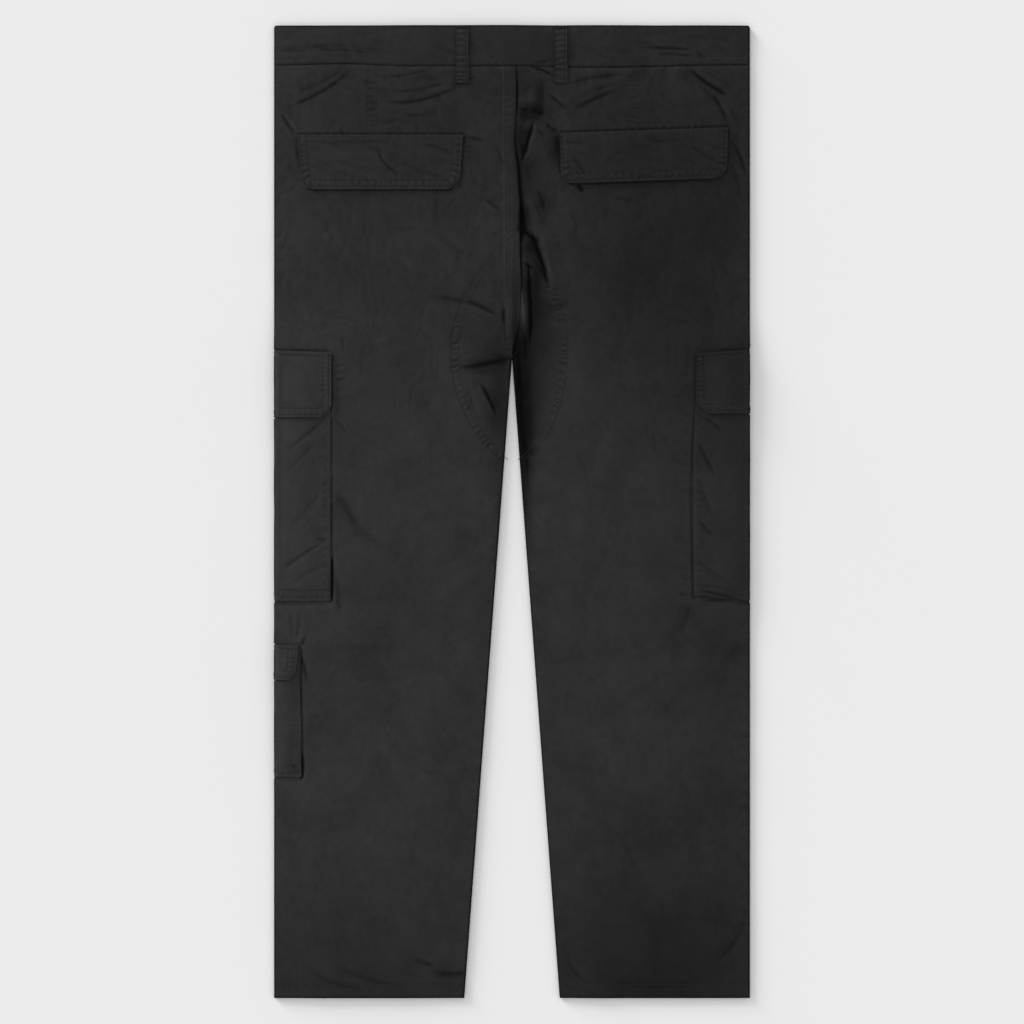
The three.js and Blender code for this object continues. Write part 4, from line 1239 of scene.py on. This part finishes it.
# back is how far a pocket goes onto the back of the leg, puff how far it stands off it, and cut the cut-off
# corner of its flap. bend and droop tell how far its bottom and top are drawn up and down beside the leg,
# taper and bow how its free edge leans in at the top and curves out, and flap_over how much wider its flap
# is at the flap's top and bottom.
BOTTOM_ROWS = (4.0, 11.5)
POCKETS = {
    "cargo_left": {
        "side": -1, "pocket": "cargo_pocket_left", "flap": "cargo_flap_left",
        "back": 61.5, "puff": 2.4, "cut": 12, "bend": 0.0,
        "taper": 0.0, "bow": 0.0, "droop": 1.8, "flap_over": (1.0, 1.0),
        "creases": [
            ((-199, 101), (-220, 84), (-246, 62), -0.5, 4, 0.4),
            ((-206, 84), (-226, 60), (-250, 36), -0.25, 5, 0.4),
            ((-202, 30), (-220, 4), (-246, -24), -0.25, 6, 0.4),
            ((-199, -31), (-222, -44), (-252, -66), -0.5, 4, 0.4),
            ((-197, -30), (-205, -30), (-214, -29), -0.4, 2.6, 0.3),
            ((-200, -58), (-220, -66), (-246, -84), -0.3, 4, 0.4),
            ((-203, 60), (-206, 20), (-204, -30), 0.4, 5, 0),
        ],
    },
    "cargo_right": {
        "side": 1, "pocket": "cargo_pocket_right", "flap": "cargo_flap_right",
        "back": 61.0, "puff": 2.0, "cut": 12, "bend": 6.0,
        "taper": 2.0, "bow": 2.6, "droop": 4.5, "flap_over": (-2.4, -2.0),
        "creases": [
            ((204, 104), (216, 96), (228, 84), -0.5, 4, 0.3),
            ((200, 80), (210, 56), (222, 34), -0.55, 4, 0.4),
            ((199, 40), (208, 14), (222, -14), -0.3, 5, 0.4),
            ((199, -6), (208, -17), (218, -28), -0.5, 4, 0.2),
            ((199, -50), (214, -66), (240, -80), -0.3, 5, 0.4),
            ((197, -89), (222, -92), (252, -96), -0.9, 2.6, 0.4),
        ],
    },
    "calf_left": {
        "side": -1, "pocket": "calf_pocket_left", "flap": "calf_flap_left",
        "back": 30.0, "puff": 1.8, "cut": 7, "bend": 0.0,
        "taper": 3.0, "bow": 0.6, "droop": 0.6, "flap_over": (-3.5, -6.5),
        "creases": [((-230, -285), (-234, -277), (-238, -269), -0.6, 5, 0.3)],
    },
}


def pocket_puff(pocket, y, share):
    top, bottom = pocket["top"], pocket["bottom"]
    down = step(y, bottom, bottom + FADE) * (1 - 0.8 * step(y, top - 2 * FADE, top))
    full = pocket["puff"] * down * bell((share - 0.42) / 0.52) * step(share, 0, 0.2)
    low = 0.9 * bell((y - bottom - 20) / 24) * bell((share - 0.86) / 0.26)
    return full + low


# A point of a wrapped piece: d is the distance from the outseam's fold, and face tells the back from the
# front.
def wrapped(pocket, y, d, face, out, puff):
    side = pocket["side"]
    fold = outseam(side, y)
    x = side * (fold - d)
    share = d / (pocket["back"] - (HALF - fold))
    drawn_up = pocket["bend"] * bell((y - pocket["bottom"]) / 70)
    drawn_up = drawn_up - pocket["droop"] * bell((y - pocket["top"]) / 60)
    drawn_up = drawn_up * np.clip(share, 0, 1) * (face > 0)
    base = np.where(face > 0, back_form(x, y + drawn_up), LAY / 2)
    grown = np.where(face > 0, puff(y, share, x), 0.0)
    return tube_point(x, y + drawn_up, face, base, out + grown, seam=0.0)


def wrap_grid(pocket, rows, back_at, front, out, puff, columns=40):
    fold = outseam(pocket["side"], rows)
    over, under = back_at - (HALF - fold), front - (HALF - fold)
    near_edge = np.array([0, 0.4, 1.0, 1.8, 2.8])
    shares = np.linspace(0, 1, columns)[1:-1]
    start = over - near_edge[-1]
    even = start[:, None] + (EDGE - start)[:, None] * shares
    on_back = np.concatenate([over[:, None] - near_edge, even], axis=1)
    turn = np.broadcast_to(ROUND[::-1], (len(rows), len(ROUND)))
    turn_under = np.broadcast_to(ROUND[1:], (len(rows), len(ROUND) - 1))
    on_front = EDGE + (under - EDGE)[:, None] * np.linspace(0, 1, 14)[1:]
    d = np.concatenate([on_back, turn, turn_under, on_front], axis=1)
    face = np.ones(d.shape)
    face[:, on_back.shape[1] + turn.shape[1]:] = -1
    y = np.broadcast_to(rows[:, None], d.shape)
    return wrapped(pocket, y, d, face, out, puff)


pocket_twill = twill("pocket_twill", TWILL_TONE)
for name, pocket in POCKETS.items():
    side = pocket["side"]
    low, high = node_box(pocket["pocket"])
    flap_low, flap_high = node_box(pocket["flap"])
    pocket["top"], pocket["bottom"] = high[1], low[1]
    front = (high[0] - low[0]) - 0.2
    mouth = flap_low[1]

    def body_puff(y, share, x, pocket=pocket):
        relief = creased(x, y, pocket["creases"])
        relief = relief + 0.16 * noise(x / 12, y / 30, 12) + 0.06 * noise(x / 5, y / 9, 13)
        above = y - pocket["bottom"]
        seam = band_puckers(x, np.maximum(above, 0), 0.16, 14) - 0.5 * np.exp(-np.maximum(above, 0) / 1.2)
        for row in BOTTOM_ROWS:
            seam = seam - 0.16 * np.exp(-(((above - row) / 1.0) ** 2))
        from_edge = np.maximum(1 - share, 0) * pocket["back"]
        edge = -0.5 * np.exp(-from_edge / 1.0) + band_puckers(0.62 * y, from_edge, 0.11, 16)
        return pocket_puff(pocket, y, share) * step(1 - share, 0, 0.05) + relief + seam + edge

    rows = np.concatenate([np.linspace(high[1], low[1] + 20, 118), np.linspace(low[1] + 18.5, low[1], 15)])
    body_edge = pocket["back"] - pocket["taper"] * step(rows, low[1], high[1])
    from_middle = (rows - 0.55 * low[1] - 0.45 * high[1]) / (0.5 * (high[1] - low[1]))
    body_edge = body_edge + pocket["bow"] * bell(from_middle)
    outer = wrap_grid(pocket, rows, body_edge, front, POCKET_CLOTH + REST, body_puff)
    inner = wrap_grid(pocket, rows, body_edge, front, REST, body_puff)

    def pocket_sunken(x, y, pocket=pocket):
        return creased(x, y, pocket["creases"])

    body = cloth_object(f"{pocket['pocket']}_cloth", outer, inner, pocket_twill, 0, pocket_sunken)
    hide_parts(pocket["pocket"])

    def flap_puff(y, share, x, pocket=pocket, mouth=mouth, width=pocket["back"] + pocket["flap_over"][1]):
        free = FLAP_LIFT * (1 - step(y, mouth, pocket["top"] - 2 * FADE))
        from_side = np.maximum(width - share * pocket["back"], 0)
        edge = np.minimum(from_side, np.maximum(y - mouth, 0))
        band = 0.22 * np.exp(-(((edge - 6) / 3.2) ** 2)) + 0.3 * np.exp(-(((edge - 1) / 1) ** 2))
        for row in FLAP_ROWS_FROM_EDGE:
            band = band - 0.2 * np.exp(-(((edge - row) / 0.9) ** 2))
        from_top = pocket["top"] + 1 - y
        side_puckers = band_puckers(y * 1.3, edge, 0.26, 23)
        ripple = np.where(from_side < y - mouth, side_puckers, band_puckers(x, edge, 0.15, 25))
        sewn = -0.7 * np.exp(-np.maximum(from_top, 0) / 1.2) - 0.3 * np.exp(-(((from_top - 5) / 1.1) ** 2))
        broad = 0.2 * noise(x / 20, y / 18, 22) + 0.1 * noise(x / 9, y / 12, 24)
        stands_off = pocket_puff(pocket, y, share) + free * bell(np.clip(1 - share, 0, 1))
        return stands_off + band + broad + ripple + sewn

    upper = np.linspace(flap_high[1] - 1.2, mouth + pocket["cut"], 40)
    lower = np.linspace(mouth + pocket["cut"] - 0.9, mouth + 0.5, 13)
    flap_rows = np.concatenate([[flap_high[1], flap_high[1] - 0.6], upper, lower, [mouth]])
    corner = np.maximum(0, pocket["cut"] - (flap_rows - mouth))
    top_over, low_over = pocket["flap_over"]
    back_at = pocket["back"] + np.interp(flap_rows, (mouth, flap_high[1]), (low_over, top_over)) - corner
    out = POCKET_CLOTH + FLAP_CLOTH + 2 * REST
    outer = wrap_grid(pocket, flap_rows, back_at, front, out, flap_puff)
    inner = wrap_grid(pocket, flap_rows, back_at, front, out - FLAP_CLOTH, flap_puff)
    flap = cloth_object(f"{pocket['flap']}_cloth", outer, inner, flap_twill)
    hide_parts(pocket["flap"])

    def on_body(x, y, pocket=pocket, body_puff=body_puff):
        d = outseam(pocket["side"], y) - np.abs(x)
        return wrapped(pocket, y, d, np.ones(np.shape(y)), POCKET_CLOTH + REST, body_puff)

    def on_pocket_flap(x, y, pocket=pocket, flap_puff=flap_puff, out=out):
        d = outseam(pocket["side"], y) - np.abs(x)
        return wrapped(pocket, y, d, np.ones(np.shape(y)), out, flap_puff)

    edge_x = HALF - pocket["back"]
    stitch_rows = []
    for inset in BOTTOM_ROWS:
        bottom_line = straight(side * (edge_x + 2), low[1] + inset, side * (HALF - 8), low[1] + inset)
        stitch_rows.append((bottom_line, on_body))
    for margin in FLAP_ROWS_FROM_EDGE:
        cut = pocket["cut"] - 0.41 * margin
        top_x, low_x = edge_x - top_over + margin, edge_x - low_over + margin
        path = [
            (side * top_x, flap_high[1] - 2), (side * low_x, mouth + margin + cut),
            (side * (low_x + cut), mouth + margin), (side * (HALF - 8), mouth + margin),
        ]
        stitch_rows.append((path, on_pocket_flap))
    top_y = flap_high[1] - 5
    top_line = straight(side * (edge_x - top_over + 2), top_y, side * (HALF - 8), top_y)
    stitch_rows.append((top_line, on_pocket_flap))
    stitches_object(f"{name}_pocket_stitching", stitch_rows)


# Waist button: a flat black plastic button with a raised rim, face down under the waistband's left end.
# It is pressed in one piece and sewn on with the same black thread.
# Its section runs from the middle of one face to the middle of the other: (share of the radius, height).
def button_object():
    low, high = node_box("waist_button")
    centre, radius, height = (low + high) / 2, (high[0] - low[0]) / 2, high[2] - low[2]
    profile = [
        (0, 0.7), (0.42, 0.7), (0.62, 0.55), (0.72, 0.1), (0.9, 0.0),
        (0.97, 0.15), (1, 0.6), (0.97, 1.9), (0.85, height), (0, height),
    ]
    sides = 48
    points, faces = [], []
    for r, z in profile:
        for i in range(sides):
            angle = 2 * math.pi * i / sides
            x, y = r * radius * math.cos(angle), r * radius * math.sin(angle)
            points.append((centre[0] + x, centre[1] + y, low[2] + z))
    for level in range(len(profile) - 1):
        for i in range(sides):
            j = (i + 1) % sides
            a, b = level * sides, (level + 1) * sides
            faces.append((a + i, a + j, b + j, b + i))
    mesh = bpy.data.meshes.new("waist_button_plastic")
    mesh.from_pydata((np.array(points) * MM).tolist(), [], faces)
    mesh.shade_smooth()
    return bpy.data.objects.new("waist_button_plastic", mesh)


def button_material():
    material = bpy.data.materials.new("button_plastic")
    material.use_nodes = True
    nodes, links = material.node_tree.nodes, material.node_tree.links
    shader = nodes["Principled BSDF"]
    shader.inputs["Base Color"].default_value = (0.012, 0.012, 0.013, 1)
    scratches = nodes.new("ShaderNodeTexNoise")
    scratches.inputs["Scale"].default_value = 400.0
    ramp = nodes.new("ShaderNodeMapRange")
    ramp.inputs["To Min"].default_value = 0.35
    ramp.inputs["To Max"].default_value = 0.6
    links.new(scratches.outputs["Fac"], ramp.inputs["Value"])
    links.new(ramp.outputs["Result"], shader.inputs["Roughness"])
    return material


button = button_object()
button.data.materials.append(button_material())
bpy.context.collection.objects.link(button)
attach(button, "root")
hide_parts("waist_button")


# Floor and light: a pale, matt surface, a low, broad light from the upper left and an even pale sky, which
# give the soft shadow to the right of and below the trousers.
FLOOR_LEVEL = -0.05 * MM
floor_mesh = bpy.data.meshes.new("floor")
corners = [(x, y, FLOOR_LEVEL) for x, y in ((-6, -6), (6, -6), (6, 6), (-6, 6))]
floor_mesh.from_pydata(corners, [], [(0, 1, 2, 3)])
floor = bpy.data.objects.new("floor", floor_mesh)
bpy.context.collection.objects.link(floor)
floor_material = bpy.data.materials.new("pale_floor")
floor_material.use_nodes = True
floor_shader = floor_material.node_tree.nodes["Principled BSDF"]
floor_shader.inputs["Base Color"].default_value = (0.83, 0.83, 0.83, 1)
floor_shader.inputs["Roughness"].default_value = 0.95
floor_shader.inputs["Specular IOR Level"].default_value = 0.1
floor_mesh.materials.append(floor_material)

# Height of the light in degrees, and its share of the light that falls on the floor
KEY_HEIGHT, KEY_SHARE = 12.5, 0.22
key_data = bpy.data.lights.new("key", "SUN")
key_data.angle = math.radians(24)
key_data.energy = math.pi * KEY_SHARE / math.sin(math.radians(KEY_HEIGHT))
key = bpy.data.objects.new("key", key_data)
key.rotation_euler = (math.radians(90 - KEY_HEIGHT), 0, math.radians(225))
bpy.context.collection.objects.link(key)

world = bpy.data.worlds.new("sky")
bpy.context.scene.world = world
world.use_nodes = True
world.node_tree.nodes["Background"].inputs["Color"].default_value = (1, 1, 1, 1)
world.node_tree.nodes["Background"].inputs["Strength"].default_value = 1 - KEY_SHARE
bpy.context.scene.view_settings.view_transform = "Standard"
